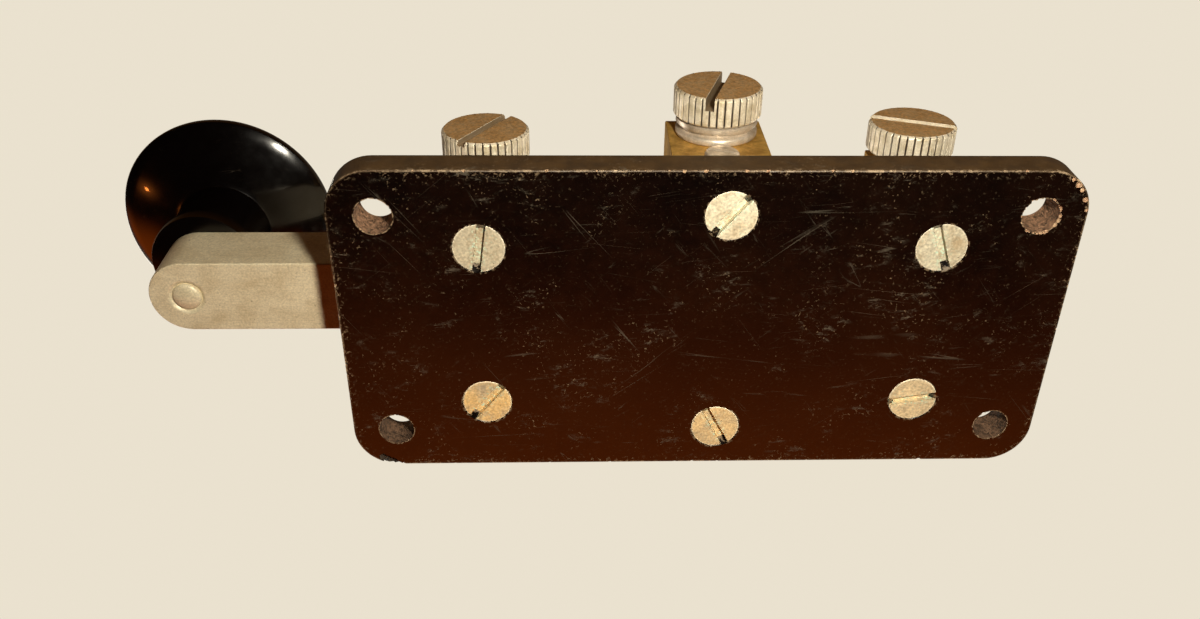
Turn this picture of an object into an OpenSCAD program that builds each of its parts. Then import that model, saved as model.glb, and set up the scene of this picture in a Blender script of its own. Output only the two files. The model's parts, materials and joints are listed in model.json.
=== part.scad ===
// Straight telegraph key on a moulded base, with the knob at -X and the terminals at -Y.
// The origin is the centre of the base's lower face. Millimetres, +Z up.

/* [Base plate] */
// Length of the base
base_l = 116; // [108:1:140]
// Width of the base
base_w = 54; // [52:1:70]
// Thickness of the base
base_h = 6.4; // [4.5:0.1:10]
// Radius of the four corners
corner_r = 7; // [3:0.5:9]
// Rounding of the upper edge
edge_r = 0.8; // [0.3:0.1:2]
// Mounting holes, centre to centre along the key
hole_spacing_x = 101.6; // [98:0.2:103]
// Mounting holes, centre to centre across the key
hole_spacing_y = 39.2; // [38:0.2:42]
// Diameter of the mounting holes
hole_d = 5.8; // [4:0.1:7]

/* [Base screws] */
// Thread diameter of the base screws
screw_d = 4; // [3:0.1:4.6]
// Head diameter of the base screws
screw_head_d = 8.2; // [6.5:0.1:9]
// How far the heads sit below the base's lower face
screw_sink = 0.1; // [0:0.05:0.4]
// Width of their slots
screw_slot_w = 1.3; // [0.8:0.1:1.8]
// Depth of their slots
screw_slot_depth = 1.1; // [0.6:0.1:1.4]
// How far the pivot bracket's screws reach into it
pivot_screw_grip = 6; // [3:0.5:8]

/* [Brackets] */
// Place of the front bracket along the key
front_x = -35.3; // [-38:0.1:-32]
// Place of the pivot bracket along the key
pivot_x = 3.2; // [0:0.1:6]
// Place of the rear bracket along the key
rear_x = 36.4; // [34:0.1:40]
// Length of the front and rear brackets
contact_bracket_l = 12; // [11:0.5:14]
// Width of the front and rear brackets across the key
contact_bracket_w = 36; // [34:0.5:40]
// Thickness of their terminal posts
contact_post_t = 7.6; // [6:0.2:9]
// Length of the pivot bracket
pivot_bracket_l = 16.2; // [13:0.2:18]
// Width of the pivot bracket across the key
pivot_bracket_w = 46.4; // [43:0.2:50]
// Thickness of its two posts
pivot_post_t = 7.2; // [6:0.2:9]
// Thickness of the brackets' feet
foot_t = 2.4; // [1.8:0.1:2.8]
// Height of the terminal posts above the base
post_h = 24.2; // [22:0.2:28]
// Height of the pivot bracket's far post above the base
far_post_h = 15.4; // [13:0.2:24]

/* [Lever] */
// Width of the lever
lever_w = 12.4; // [11:0.1:14]
// Thickness of the lever
lever_t = 11.8; // [10:0.1:12]
// Gap between the base and the lever
lever_gap = 4.3; // [4:0.1:5]
// From the pivot forward to the knob
lever_front = 88.2; // [80:0.2:100]
// From the pivot back to the lever's rear end
lever_rear = 39.8; // [38:0.2:50]

/* [Pivot] */
// Height of the pivot axis above the base
pivot_h = 8.8; // [8.2:0.1:9]
// Diameter of the axle
axle_d = 3.6; // [3:0.1:4]
// Length of the axle without its points
axle_l = 23.2; // [20:0.2:26]
// Length of each point of the axle
axle_point_l = 1.6; // [1.2:0.1:2]
// Thread diameter of the pivot screws
pivot_screw_d = 4.2; // [4:0.1:5]
// Head diameter of the pivot screws
pivot_head_d = 5.6; // [5.2:0.1:5.8]
// Head thickness of the pivot screws
pivot_head_l = 1.6; // [1.2:0.1:2.4]
// How far their heads stand out of the posts
pivot_head_out = 0.8; // [0.5:0.1:1.1]

/* [Terminals] */
// Height of the terminal screws above the base
terminal_h = 18.6; // [18.5:0.1:19.5]
// Thread diameter of the terminal screws
terminal_d = 4.7; // [4:0.1:5]
// Diameter of their knurled heads
terminal_head_d = 14.2; // [13:0.1:16]
// Length of their knurled heads
terminal_head_l = 4.9; // [4:0.1:7]
// Bevel of the heads' edges
terminal_bevel = 0.45; // [0.2:0.05:0.8]
// Width of their slots
terminal_slot_w = 1.45; // [1:0.05:2]
// Depth of their slots
terminal_slot_depth = 2; // [1:0.1:2.5]
// Teeth around a terminal head
terminal_teeth = 36; // [24:1:48]
// How far the threads end short of the lever's centre line
terminal_end = 8.8; // [8:0.1:10]
// How far the rear terminal is unscrewed
rear_terminal_open = 1.2; // [0:0.1:2]
// Diameter of the grooved collar at the pivot bracket
collar_d = 13.6; // [12:0.1:13.8]
// Length of the grooved collar
collar_l = 3.2; // [2.4:0.1:4]
// Depth of the groove around the collar
collar_groove = 0.7; // [0.3:0.1:1.2]
// Diameter of the plain washers
washer_d = 11; // [9:0.5:12]
// Thickness of the plain washers
washer_t = 1; // [0.6:0.1:1.6]

/* [Knob] */
// Diameter of the knob's rim
knob_d = 38.2; // [30:0.2:42]
// Height of the knob
knob_h = 25.5; // [20:0.5:32]
// Diameter of its foot
knob_foot_d = 17.8; // [14:0.2:20]
// Height of its foot
knob_foot_h = 2.8; // [1.5:0.1:4]
// Height of the rim's widest line above the foot's lower face
knob_rim_h = 18.25; // [13:0.05:19]
// Rounding under the knob's rim
knob_rim_r = 0.8; // [0.5:0.1:2]
// Radius of the bowl that the knob's underside follows
knob_bowl_r = 35; // [30:1:60]
// Diameter of the knob's stud
stud_d = 4.8; // [4:0.1:6]
// How far the stud reaches into the knob
stud_reach = 12; // [8:0.5:16]
// Diameter of the recess around the stud's end
stud_recess_d = 5.9; // [5:0.1:7.5]
// How far the stud's domed end stands below the lever
stud_dome = 0.5; // [0.2:0.1:0.9]

/* [Contacts] */
// Diameter of the anvils' heads
anvil_d = 5; // [4:0.1:6]
// Height of the anvils' heads
anvil_h = 0.5; // [0.3:0.1:0.7]
// Diameter of the lever's contact
contact_d = 4.4; // [3.5:0.1:5]
// How far the lever's contact stands below the lever
contact_out = 0.4; // [0.2:0.1:0.5]
// Diameter of the contacts' stems
stem_d = 2.4; // [1.6:0.1:3]
// Length of the lever contact's stem
stem_l = 3; // [2:0.5:5]

/* [Spring and adjusting screws] */
// From the pivot forward to the spring
spring_front = 20.2; // [18:0.2:26]
// Mean diameter of the return spring
spring_d = 3.9; // [3.5:0.1:4.2]
// Wire of the return spring
wire_d = 0.7; // [0.5:0.05:0.8]
// Turns of the return spring
spring_turns = 7; // [5:1:7]
// Depth of the spring's recess in the base
spring_recess = 1; // [0.5:0.1:2]
// How far the spring reaches into the lever
spring_reach = 6.7; // [6:0.1:7.5]
// Thread diameter of the adjusting screws
adjuster_d = 4.6; // [4.2:0.1:5]
// Diameter of their knurled heads
adjuster_head_d = 9.6; // [8:0.1:11]
// Length of their knurled heads
adjuster_head_l = 4; // [3:0.1:6]
// Diameter of their lock nuts
nut_d = 10.4; // [9:0.1:11.5]
// Thickness of their lock nuts
nut_t = 2.6; // [2:0.1:4]
// Thread showing between each nut and head
adjuster_gap = 2.4; // [1:0.1:4]
// Teeth around an adjusting screw's head and nut
adjuster_teeth = 28; // [20:1:36]

/* [Hidden] */
$fn = 64;
fit = 0.05;
tip_room = 0.3;
cut = 1;
knurl_depth = 0.42;
knob_steps = 8;
neck_step = 0.6;
rim_steps = 4;
crown_start_l = 3.8;
crown_end_l = 14.7;
dome_start = 0.25;
rings_per_turn = 8;
wire_sides = 6;
adjuster_slot_w = 1.1;
adjuster_slot_depth = 1.2;
pivot_slot_w = 0.9;
pivot_slot_depth = 0.6;
bore_wall = 0.35;

// Directions of the screw slots, in degrees
front_slot_turn = 60;
pivot_slot_turn = 73;
rear_slot_turn = -21;
front_screw_turns = [-82, -50];
pivot_screw_turns = [-50, 62];
rear_screw_turns = [71, -9];

lever_z = base_h + lever_gap;
lever_top = lever_z + lever_t;
knob_x = pivot_x - lever_front;
spring_x = pivot_x - spring_front;
pivot_z = base_h + pivot_h;
terminal_z = base_h + terminal_h;
foot_top = base_h + foot_t;
anvil_top = foot_top + anvil_h;
contact_screw_y = (contact_bracket_w - contact_post_t) / 2;
pivot_screw_y = (pivot_bracket_w - pivot_post_t) / 2;
contact_face_y = -contact_bracket_w / 2;
pivot_face_y = -pivot_bracket_w / 2;
pivot_thread_end = axle_l / 2 + tip_room;
point_slope = axle_d / 2 / axle_point_l;
spring_bore_d = spring_d + wire_d + 2 * bore_wall;
spring_z = base_h - spring_recess;
spring_top = lever_z + spring_reach;
spring_l = spring_top - spring_z;

brass = [0.62, 0.47, 0.22];
nickel = [0.74, 0.68, 0.57];
dull_nickel = [0.58, 0.5, 0.38];
steel = [0.55, 0.54, 0.52];
silver = [0.86, 0.86, 0.84];
black = [0.07, 0.05, 0.04];

// A point on the curve that four control points make
function bezier(p, t) =
    pow(1 - t, 3) * p[0] + 3 * pow(1 - t, 2) * t * p[1]
    + 3 * (1 - t) * t * t * p[2] + pow(t, 3) * p[3];

// Half section of a plate whose upper outer edge is rounded
module edge_section(half_w) {
    square([half_w, base_h - edge_r]);
    square([half_w - edge_r, base_h]);
    translate([half_w - edge_r, base_h - edge_r]) circle(edge_r);
}

// A straight run of the plate, half_w each side of its centre line
module plate_run(half_w, run) {
    rotate([90, 0, 90]) linear_extrude(run, center = true) {
        edge_section(half_w);
        mirror([1, 0]) edge_section(half_w);
    }
}

module rounded_plate() {
    plate_run(base_w / 2, base_l - 2 * corner_r);
    rotate(90) plate_run(base_l / 2, base_w - 2 * corner_r);
    for (sx = [-1, 1], sy = [-1, 1]) {
        translate([sx * (base_l / 2 - corner_r), sy * (base_w / 2 - corner_r), 0])
            rotate_extrude() edge_section(corner_r);
    }
}

// Both places of a bracket's two screws
module at_screws(x, y) {
    for (sy = [-1, 1]) translate([x, sy * y, 0]) children();
}

// A countersunk head and shank that grow by extra all round
module screw_shape(top, extra) {
    r = screw_d / 2;
    head_r = screw_head_d / 2;
    translate([0, 0, screw_sink]) cylinder(h = head_r - r, r1 = head_r + extra, r2 = r + extra);
    translate([0, 0, screw_sink]) cylinder(h = top - screw_sink, r = r + extra);
}

module screw_hole() {
    screw_shape(base_h + cut, fit);
    translate([0, 0, -cut]) cylinder(h = cut + screw_sink, r = screw_head_d / 2 + fit);
}

// Two base screws, with a slot direction for each
module base_screws(x, y, grip, turns) {
    for (i = [0, 1]) {
        translate([x, (2 * i - 1) * y, 0]) difference() {
            screw_shape(base_h + grip, 0);
            rotate(turns[i]) translate([0, 0, screw_sink + screw_slot_depth / 2 - cut / 2])
                cube([screw_head_d + cut, screw_slot_w, screw_slot_depth + cut], center = true);
        }
    }
}

module base_plate() {
    color(black) difference() {
        rounded_plate();
        for (sx = [-1, 1], sy = [-1, 1]) {
            translate([sx * hole_spacing_x / 2, sy * hole_spacing_y / 2, -cut])
                cylinder(h = base_h + 2 * cut, d = hole_d);
        }
        at_screws(front_x, contact_screw_y) screw_hole();
        at_screws(pivot_x, pivot_screw_y) screw_hole();
        at_screws(rear_x, contact_screw_y) screw_hole();
        translate([spring_x, 0, spring_z]) cylinder(h = spring_recess + cut, d = spring_bore_d);
    }
}

// The tapped hole that a base screw enters from below
module thread_hole(grip) {
    translate([0, 0, base_h - cut]) cylinder(h = grip + tip_room + cut, d = screw_d + 2 * fit);
}

module terminal_hole(x, face_y, depth) {
    translate([x, face_y - cut, terminal_z]) rotate([-90, 0, 0])
        cylinder(h = depth + 2 * cut, d = terminal_d + 2 * fit);
}

// A foot under the lever with a terminal post at its near end
module contact_bracket(x) {
    color(brass) difference() {
        union() {
            translate([x - contact_bracket_l / 2, contact_face_y, base_h])
                cube([contact_bracket_l, contact_bracket_w, foot_t]);
            translate([x - contact_bracket_l / 2, contact_face_y, base_h])
                cube([contact_bracket_l, contact_post_t, post_h]);
        }
        at_screws(x, contact_screw_y) thread_hole(foot_t);
        terminal_hole(x, contact_face_y, contact_post_t);
        translate([x, 0, base_h - cut]) cylinder(h = foot_t + 2 * cut, d = stem_d + 2 * fit);
    }
}

module front_bracket() {
    contact_bracket(front_x);
}

module rear_bracket() {
    contact_bracket(rear_x);
}

// A stepped bore that takes one pivot screw, from outside to inside
module pivot_screw_bore() {
    translate([pivot_x, pivot_face_y, pivot_z]) rotate([-90, 0, 0]) {
        translate([0, 0, -cut]) cylinder(h = pivot_post_t + 2 * cut, d = pivot_screw_d + 2 * fit);
        translate([0, 0, -cut])
            cylinder(h = pivot_head_l - pivot_head_out + cut, d = pivot_head_d + 2 * fit);
    }
}

module pivot_bracket() {
    left = pivot_x - pivot_bracket_l / 2;
    color(brass) difference() {
        union() {
            translate([left, pivot_face_y, base_h]) cube([pivot_bracket_l, pivot_bracket_w, foot_t]);
            translate([left, pivot_face_y, base_h]) cube([pivot_bracket_l, pivot_post_t, post_h]);
            translate([left, -pivot_face_y - pivot_post_t, base_h])
                cube([pivot_bracket_l, pivot_post_t, far_post_h]);
        }
        at_screws(pivot_x, pivot_screw_y) thread_hole(pivot_screw_grip);
        terminal_hole(pivot_x, pivot_face_y, pivot_post_t);
        pivot_screw_bore();
        mirror([0, 1, 0]) pivot_screw_bore();
    }
}

// A fixed contact whose stem goes through the bracket's foot
module anvil(x) {
    color(silver) {
        translate([x, 0, foot_top]) cylinder(h = anvil_h, d = anvil_d);
        translate([x, 0, base_h]) cylinder(h = foot_t, d = stem_d);
    }
}

module front_anvil() {
    anvil(front_x);
}

module rear_anvil() {
    anvil(rear_x);
}

module lever_bar() {
    translate([knob_x, -lever_w / 2, lever_z]) cube([lever_front + lever_rear, lever_w, lever_t]);
    translate([knob_x, 0, lever_z]) cylinder(h = lever_t, d = lever_w);
}

module lever() {
    color(nickel) difference() {
        lever_bar();
        translate([knob_x, 0, lever_z - cut]) cylinder(h = lever_t + 2 * cut, d = stud_d + 2 * fit);
        stud_recess();
        translate([front_x, 0, lever_z - cut]) cylinder(h = stem_l + cut + tip_room, d = stem_d + 2 * fit);
        translate([pivot_x, 0, pivot_z]) rotate([90, 0, 0])
            cylinder(h = lever_w + cut, d = axle_d + 2 * fit, center = true);
        translate([spring_x, 0, lever_z - cut])
            cylinder(h = spring_reach + tip_room + cut, d = spring_bore_d);
        for (x = [spring_x, rear_x]) {
            translate([x, 0, lever_z - cut]) cylinder(h = lever_t + 2 * cut, d = adjuster_d + 2 * fit);
        }
    }
}

// A cone round the stud's domed end
module stud_recess() {
    depth = (stud_recess_d - stud_d) / 2;
    translate([knob_x, 0, lever_z]) {
        cylinder(h = depth, d1 = stud_recess_d, d2 = stud_d);
        translate([0, 0, -cut]) cylinder(h = cut, d = stud_recess_d);
    }
}

// The axle through the lever, pointed at both ends
module lever_axle() {
    color(steel) translate([pivot_x, 0, pivot_z]) rotate([90, 0, 0]) {
        cylinder(h = axle_l, d = axle_d, center = true);
        for (side = [0, 180]) rotate([side, 0, 0]) translate([0, 0, axle_l / 2])
            cylinder(h = axle_point_l, d1 = axle_d, d2 = 0);
    }
}

module lever_contact() {
    color(silver) translate([front_x, 0, lever_z]) {
        translate([0, 0, -contact_out]) cylinder(h = contact_out, d = contact_d);
        cylinder(h = stem_l, d = stem_d);
    }
}

// The stud that holds the knob, with a domed lower end
module knob_stud() {
    r = stud_d / 2;
    dome_base = lever_z + dome_start;
    dome_h = stud_dome + dome_start;
    dome_r = (r * r + dome_h * dome_h) / (2 * dome_h);
    color(nickel) translate([knob_x, 0, 0]) {
        translate([0, 0, dome_base]) cylinder(h = lever_top + stud_reach - dome_base, r = r);
        intersection() {
            translate([0, 0, dome_base - dome_h + dome_r]) sphere(dome_r);
            translate([0, 0, dome_base - dome_h]) cylinder(h = dome_h, r = r);
        }
    }
}

// A point on the rounding under the rim, a degrees below its widest line
function rim_point(a) =
    [knob_d / 2 - knob_rim_r * (1 - cos(a)), knob_rim_h - knob_rim_r * sin(a)];

// Section of the knob, from its foot up the neck, out along the bowl, round the rim and over the top
function knob_section() =
    let (foot = knob_foot_d / 2, neck = foot - neck_step, rim = knob_d / 2)
    let (rim_centre = rim - knob_rim_r, bowl_reach = knob_bowl_r - knob_rim_r)
    let (bowl_centre = knob_rim_h + sqrt(pow(bowl_reach, 2) - pow(rim_centre, 2)))
    let (bowl_start = asin(neck / knob_bowl_r), bowl_end = asin(rim_centre / bowl_reach))
    let (crown = [[rim, knob_rim_h], [rim, knob_rim_h + crown_start_l],
                  [crown_end_l, knob_h], [0, knob_h]])
    concat(
        [[0, 0], [foot, 0], [foot, knob_foot_h], [neck, knob_foot_h]],
        [for (i = [0:knob_steps - 1])
            let (a = bowl_start + (bowl_end - bowl_start) * i / knob_steps)
            [knob_bowl_r * sin(a), bowl_centre - knob_bowl_r * cos(a)]],
        [for (i = [0:rim_steps - 1]) rim_point((90 - bowl_end) * (1 - i / rim_steps))],
        [for (i = [0:knob_steps]) bezier(crown, i / knob_steps)]
    );

module knob() {
    color(black) translate([knob_x, 0, lever_top]) difference() {
        rotate_extrude($fn = 96) polygon(knob_section());
        translate([0, 0, -cut]) cylinder(h = stud_reach + tip_room + cut, d = stud_d + 2 * fit);
    }
}

// One ring of the spring's wire at a turn angle
function spring_centre(a) =
    let (rise = spring_l - wire_d - 2 * fit)
    [spring_d / 2 * cos(a), spring_d / 2 * sin(a), wire_d / 2 + fit + rise * a / (360 * spring_turns)];

function spring_ring(a) =
    let (c = spring_centre(a))
    [for (k = [0:wire_sides - 1])
        let (b = 360 * k / wire_sides)
        [c.x + wire_d / 2 * cos(b) * cos(a), c.y + wire_d / 2 * cos(b) * sin(a),
         c.z + wire_d / 2 * sin(b)]];

// The spring is one unbroken tube of triangles
module return_spring() {
    rings = spring_turns * rings_per_turn;
    points = [for (i = [0:rings]) each spring_ring(360 * i / rings_per_turn)];
    sides = [for (i = [0:rings - 1], k = [0:wire_sides - 1])
        let (a = i * wire_sides + k, b = i * wire_sides + (k + 1) % wire_sides)
        each [[a, b, a + wire_sides], [b, b + wire_sides, a + wire_sides]]];
    start_cap = [for (k = [1:wire_sides - 2]) [0, k + 1, k]];
    last = rings * wire_sides;
    end_cap = [for (k = [1:wire_sides - 2]) [last, last + k, last + k + 1]];
    echo(least_gap_of_the_spring = spring_gap());
    color(steel) translate([spring_x, 0, spring_z])
        polyhedron(points, concat(sides, start_cap, end_cap));
}

// Least space between rings of the wire that are over half a turn apart
function spring_gap() =
    let (rings = spring_turns * rings_per_turn)
    let (c = [for (i = [0:rings]) spring_centre(360 * i / rings_per_turn)])
    min([for (i = [0:rings], j = [i + rings_per_turn / 2:rings]) norm(c[j] - c[i])]) - wire_d;

// A screw in one post, its inner end cupped for the axle's point
module pivot_screw() {
    head_y = pivot_face_y - pivot_head_out;
    shank_l = -head_y - pivot_thread_end;
    color(dull_nickel) translate([pivot_x, head_y, pivot_z]) rotate([-90, 0, 0]) difference() {
        union() {
            cylinder(h = pivot_head_l - fit, d = pivot_head_d);
            cylinder(h = shank_l, d = pivot_screw_d);
        }
        translate([0, 0, shank_l]) mirror([0, 0, 1]) pivot_cup();
        cube([pivot_head_d + cut, pivot_slot_w, 2 * pivot_slot_depth], center = true);
    }
}

// The cup follows the axle's point with a running clearance
module pivot_cup() {
    depth = axle_point_l - tip_room + 2 * fit;
    r = depth * point_slope;
    cylinder(h = depth, r1 = r, r2 = 0);
}

module near_pivot_screw() {
    pivot_screw();
}

module far_pivot_screw() {
    mirror([0, 1, 0]) pivot_screw();
}

// A round grip with straight teeth, beveled at both ends
module knurled(d, h, teeth, bevel) {
    intersection() {
        linear_extrude(h) difference() {
            circle(d = d);
            for (i = [0:teeth - 1]) rotate(360 * i / teeth) translate([d / 2, 0])
                rotate(45) square(knurl_depth * sqrt(2), center = true);
        }
        rotate_extrude() polygon([
            [0, 0], [d / 2 - bevel, 0], [d / 2, bevel],
            [d / 2, h - bevel], [d / 2 - bevel, h], [0, h],
        ]);
    }
}

// A terminal screw whose head's underside is at head_y
module terminal_screw(x, head_y, thread_end, slot_turn) {
    color(nickel) translate([x, head_y, terminal_z]) rotate([90, 0, 0]) difference() {
        union() {
            knurled(terminal_head_d, terminal_head_l, terminal_teeth, terminal_bevel);
            translate([0, 0, -(thread_end - head_y)]) cylinder(h = thread_end - head_y, d = terminal_d);
        }
        translate([0, 0, terminal_head_l]) rotate(slot_turn)
            cube([terminal_head_d + cut, terminal_slot_w, 2 * terminal_slot_depth], center = true);
    }
}

module terminal_washer(x, back_y) {
    color(nickel) translate([x, back_y, terminal_z]) rotate([90, 0, 0]) difference() {
        cylinder(h = washer_t, d = washer_d);
        translate([0, 0, -cut]) cylinder(h = washer_t + 2 * cut, d = terminal_d + 2 * fit);
    }
}

module front_terminal_washer() {
    terminal_washer(front_x, contact_face_y - fit);
}

module front_terminal_screw() {
    terminal_screw(front_x, contact_face_y - washer_t - 2 * fit, -terminal_end, front_slot_turn);
}

module rear_terminal_washer() {
    terminal_washer(rear_x, contact_face_y - rear_terminal_open - fit);
}

module rear_terminal_screw() {
    head_y = contact_face_y - rear_terminal_open - washer_t - 2 * fit;
    terminal_screw(rear_x, head_y, -terminal_end - rear_terminal_open, rear_slot_turn);
}

// The collar's outline has one hollow groove round its middle
module pivot_terminal_collar() {
    r = collar_d / 2;
    groove_r = collar_l / 3;
    color(nickel) translate([pivot_x, pivot_face_y - fit, terminal_z]) rotate([90, 0, 0])
        rotate_extrude() difference() {
            translate([terminal_d / 2 + fit, 0]) square([r - terminal_d / 2 - fit, collar_l]);
            translate([r, collar_l / 2]) scale([collar_groove / groove_r, 1]) circle(groove_r);
        }
}

module pivot_terminal_screw() {
    head_y = pivot_face_y - collar_l - 2 * fit;
    terminal_screw(pivot_x, head_y, pivot_face_y + pivot_post_t + cut, pivot_slot_turn);
}

module lock_nut(x) {
    color(nickel) translate([x, 0, lever_top + fit]) difference() {
        knurled(nut_d, nut_t, adjuster_teeth, terminal_bevel);
        translate([0, 0, -cut]) cylinder(h = nut_t + 2 * cut, d = adjuster_d + 2 * fit);
    }
}

// A vertical screw from its tip up to its knurled, slotted head
module adjusting_screw(x, tip_z) {
    head_z = lever_top + nut_t + adjuster_gap;
    color(nickel) translate([x, 0, 0]) difference() {
        union() {
            translate([0, 0, head_z])
                knurled(adjuster_head_d, adjuster_head_l, adjuster_teeth, terminal_bevel);
            translate([0, 0, tip_z]) cylinder(h = head_z - tip_z, d = adjuster_d);
        }
        translate([0, 0, head_z + adjuster_head_l])
            cube([adjuster_head_d + cut, adjuster_slot_w, 2 * adjuster_slot_depth], center = true);
    }
}

module spring_lock_nut() {
    lock_nut(spring_x);
}

module spring_screw() {
    adjusting_screw(spring_x, spring_top);
}

module gap_lock_nut() {
    lock_nut(rear_x);
}

module gap_screw() {
    adjusting_screw(rear_x, anvil_top + fit);
}

base_plate();
base_screws(front_x, contact_screw_y, foot_t, front_screw_turns);  // front_bracket_screws
base_screws(pivot_x, pivot_screw_y, pivot_screw_grip, pivot_screw_turns);  // pivot_bracket_screws
base_screws(rear_x, contact_screw_y, foot_t, rear_screw_turns);  // rear_bracket_screws
front_bracket();
pivot_bracket();
rear_bracket();
front_anvil();
rear_anvil();
lever();
lever_axle();
lever_contact();
knob_stud();
knob();
return_spring();
near_pivot_screw();
far_pivot_screw();
front_terminal_washer();
front_terminal_screw();
pivot_terminal_collar();
pivot_terminal_screw();
rear_terminal_washer();
rear_terminal_screw();
spring_lock_nut();
spring_screw();
gap_lock_nut();
gap_screw();
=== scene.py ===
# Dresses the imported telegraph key: models its pieces again with broken edges, wear and node materials.
import json
import math
import random

import bmesh
import bpy
from mathutils import Matrix, Vector

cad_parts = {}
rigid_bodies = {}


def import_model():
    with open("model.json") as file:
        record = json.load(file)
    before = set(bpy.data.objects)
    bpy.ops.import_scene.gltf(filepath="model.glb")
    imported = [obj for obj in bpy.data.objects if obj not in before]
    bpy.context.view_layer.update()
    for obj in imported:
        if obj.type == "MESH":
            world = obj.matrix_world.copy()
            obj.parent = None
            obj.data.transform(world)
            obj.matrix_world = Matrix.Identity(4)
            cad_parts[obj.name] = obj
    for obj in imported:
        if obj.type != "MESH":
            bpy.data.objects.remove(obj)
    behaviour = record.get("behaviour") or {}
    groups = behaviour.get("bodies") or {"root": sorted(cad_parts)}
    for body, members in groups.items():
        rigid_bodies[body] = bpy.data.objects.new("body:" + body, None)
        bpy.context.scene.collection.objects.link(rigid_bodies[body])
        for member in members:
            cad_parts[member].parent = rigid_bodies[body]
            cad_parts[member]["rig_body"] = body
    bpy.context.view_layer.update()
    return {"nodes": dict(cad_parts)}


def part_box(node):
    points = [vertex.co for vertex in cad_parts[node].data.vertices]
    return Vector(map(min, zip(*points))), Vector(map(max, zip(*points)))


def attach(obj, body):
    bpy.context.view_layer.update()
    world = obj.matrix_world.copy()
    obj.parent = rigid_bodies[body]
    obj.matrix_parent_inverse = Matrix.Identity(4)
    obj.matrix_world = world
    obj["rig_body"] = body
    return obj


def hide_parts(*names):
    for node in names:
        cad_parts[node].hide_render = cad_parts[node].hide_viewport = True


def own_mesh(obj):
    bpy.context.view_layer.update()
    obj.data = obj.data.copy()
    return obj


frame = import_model()

bl_info = {
    "name": "Telegraph key",
    "version": (1, 0, 0),
    "blender": (4, 5, 0),
    "location": "3D View > Sidebar > Key",
    "description": "Models a straight telegraph key piece by piece on its packed frame",
    "category": "Add Mesh",
}

MM = 0.001
# Room all round in the holes for screws, stems and the axle, and in those for the return spring
CLEARANCE = 0.05 * MM
SPRING_ROOM = 0.35 * MM
# Thread radius of the pivot screws
PIVOT_SCREW_R = 2.1 * MM
# Points nearer together than these are one point, in a piece as it is built and after a boolean
SAME_PLACE = 1e-7
NEARLY_SAME_PLACE = 1e-6
AXIS_TURNS = {"Z": (0, 0, 0), "-Y": (math.pi / 2, 0, 0), "Y": (-math.pi / 2, 0, 0)}

# Each base screw's slot direction in degrees, brightness and share of a gold tone, larger on the far screw
# of each pair
BASE_SCREWS = {
    "front": ((-82, 0.84, 0.1), (-50, 1.1, 0.9)),
    "pivot": ((-50, 1.18, 0.0), (62, 1.1, 0.7)),
    "rear": ((71, 0.94, 0.0), (-9, 1.12, 0.45)),
}
# Each terminal slot's direction in degrees, dark fill (front: dirt, pivot: painted shade) and depth in
# millimetres
TERMINAL_SLOTS = {"front": (60, 1.0, 0.9), "pivot": (73, 1.0, 2.0), "rear": (-21, 0.0, 2.0)}
# Whether each contact's face looks up, and the thickness of its head in millimetres
CONTACTS = {"front_anvil": (True, 0.5), "rear_anvil": (True, 0.5), "lever_contact": (False, 0.4)}

# Chips round each mounting hole: its side along and across, how many, and the largest in millimetres
HOLE_CHIPS = ((-1, -1, 22, 0.3), (1, -1, 34, 0.5), (-1, 1, 12, 0.22), (1, 1, 17, 0.34))
# Chips and bites at two worn corners of the base, as x, y and radius in millimetres
CORNER_CHIPS = (
    (39.5, 27.1, 0.5), (55.4, -24.7, 0.5), (56.1, -23.9, 0.4),
    (57, -22.3, 0.45), (54.4, -25.6, 0.35), (57.6, -20.6, 0.3),
)
CORNER_BITES = (
    (-53.6, 25.6, 0.8), (-52.9, 26, 0.9), (-52.1, 26.4, 0.9), (-51.2, 26.9, 0.7), (-50.3, 27.3, 0.6),
)

# Each lamp's place, the point it looks at, its width, power and colour, and whether polish mirrors it
LAMPS = {
    "front_lamp": ((0.019, -0.115, -0.15), (-0.01, 0, 0), 0.016, 0.58, (1.0, 0.93, 0.78), True),
    "amber_lamp": ((-0.458, 0.056, -0.222), (-0.09, -0.005, 0.04), 0.01, 0.02, (1.0, 0.25, 0.04), True),
    "overhead_lamp": ((0, 0.15, 0.9), (0, 0, 0), 0.7, 3.4, (1.0, 0.96, 0.9), False),
    "back_lamp": ((0.6, 0.8, 0.6), (0, 0, 0), 0.5, 3.2, (1.0, 0.97, 0.93), True),
    "side_lamp": ((-0.9, 0.5, 0.5), (0, 0, 0), 0.5, 3.2, (1.0, 0.95, 0.88), True),
}


def size(name, description, millimetres):
    """A length that a user can change; the file's own unit is the metre."""
    return bpy.props.FloatProperty(
        name=name, description=description, default=millimetres * MM, min=0, precision=5,
        subtype="DISTANCE", unit="LENGTH",
    )


def repeats(name, description, number, least):
    """A number of repeats that a user can change."""
    return bpy.props.IntProperty(name=name, description=description, default=number, min=least)


def colour(name, description, value):
    """A colour that a user can change, as linear red, green and blue."""
    return bpy.props.FloatVectorProperty(
        name=name, description=description, default=value, size=3, min=0, max=1, subtype="COLOR"
    )


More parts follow.
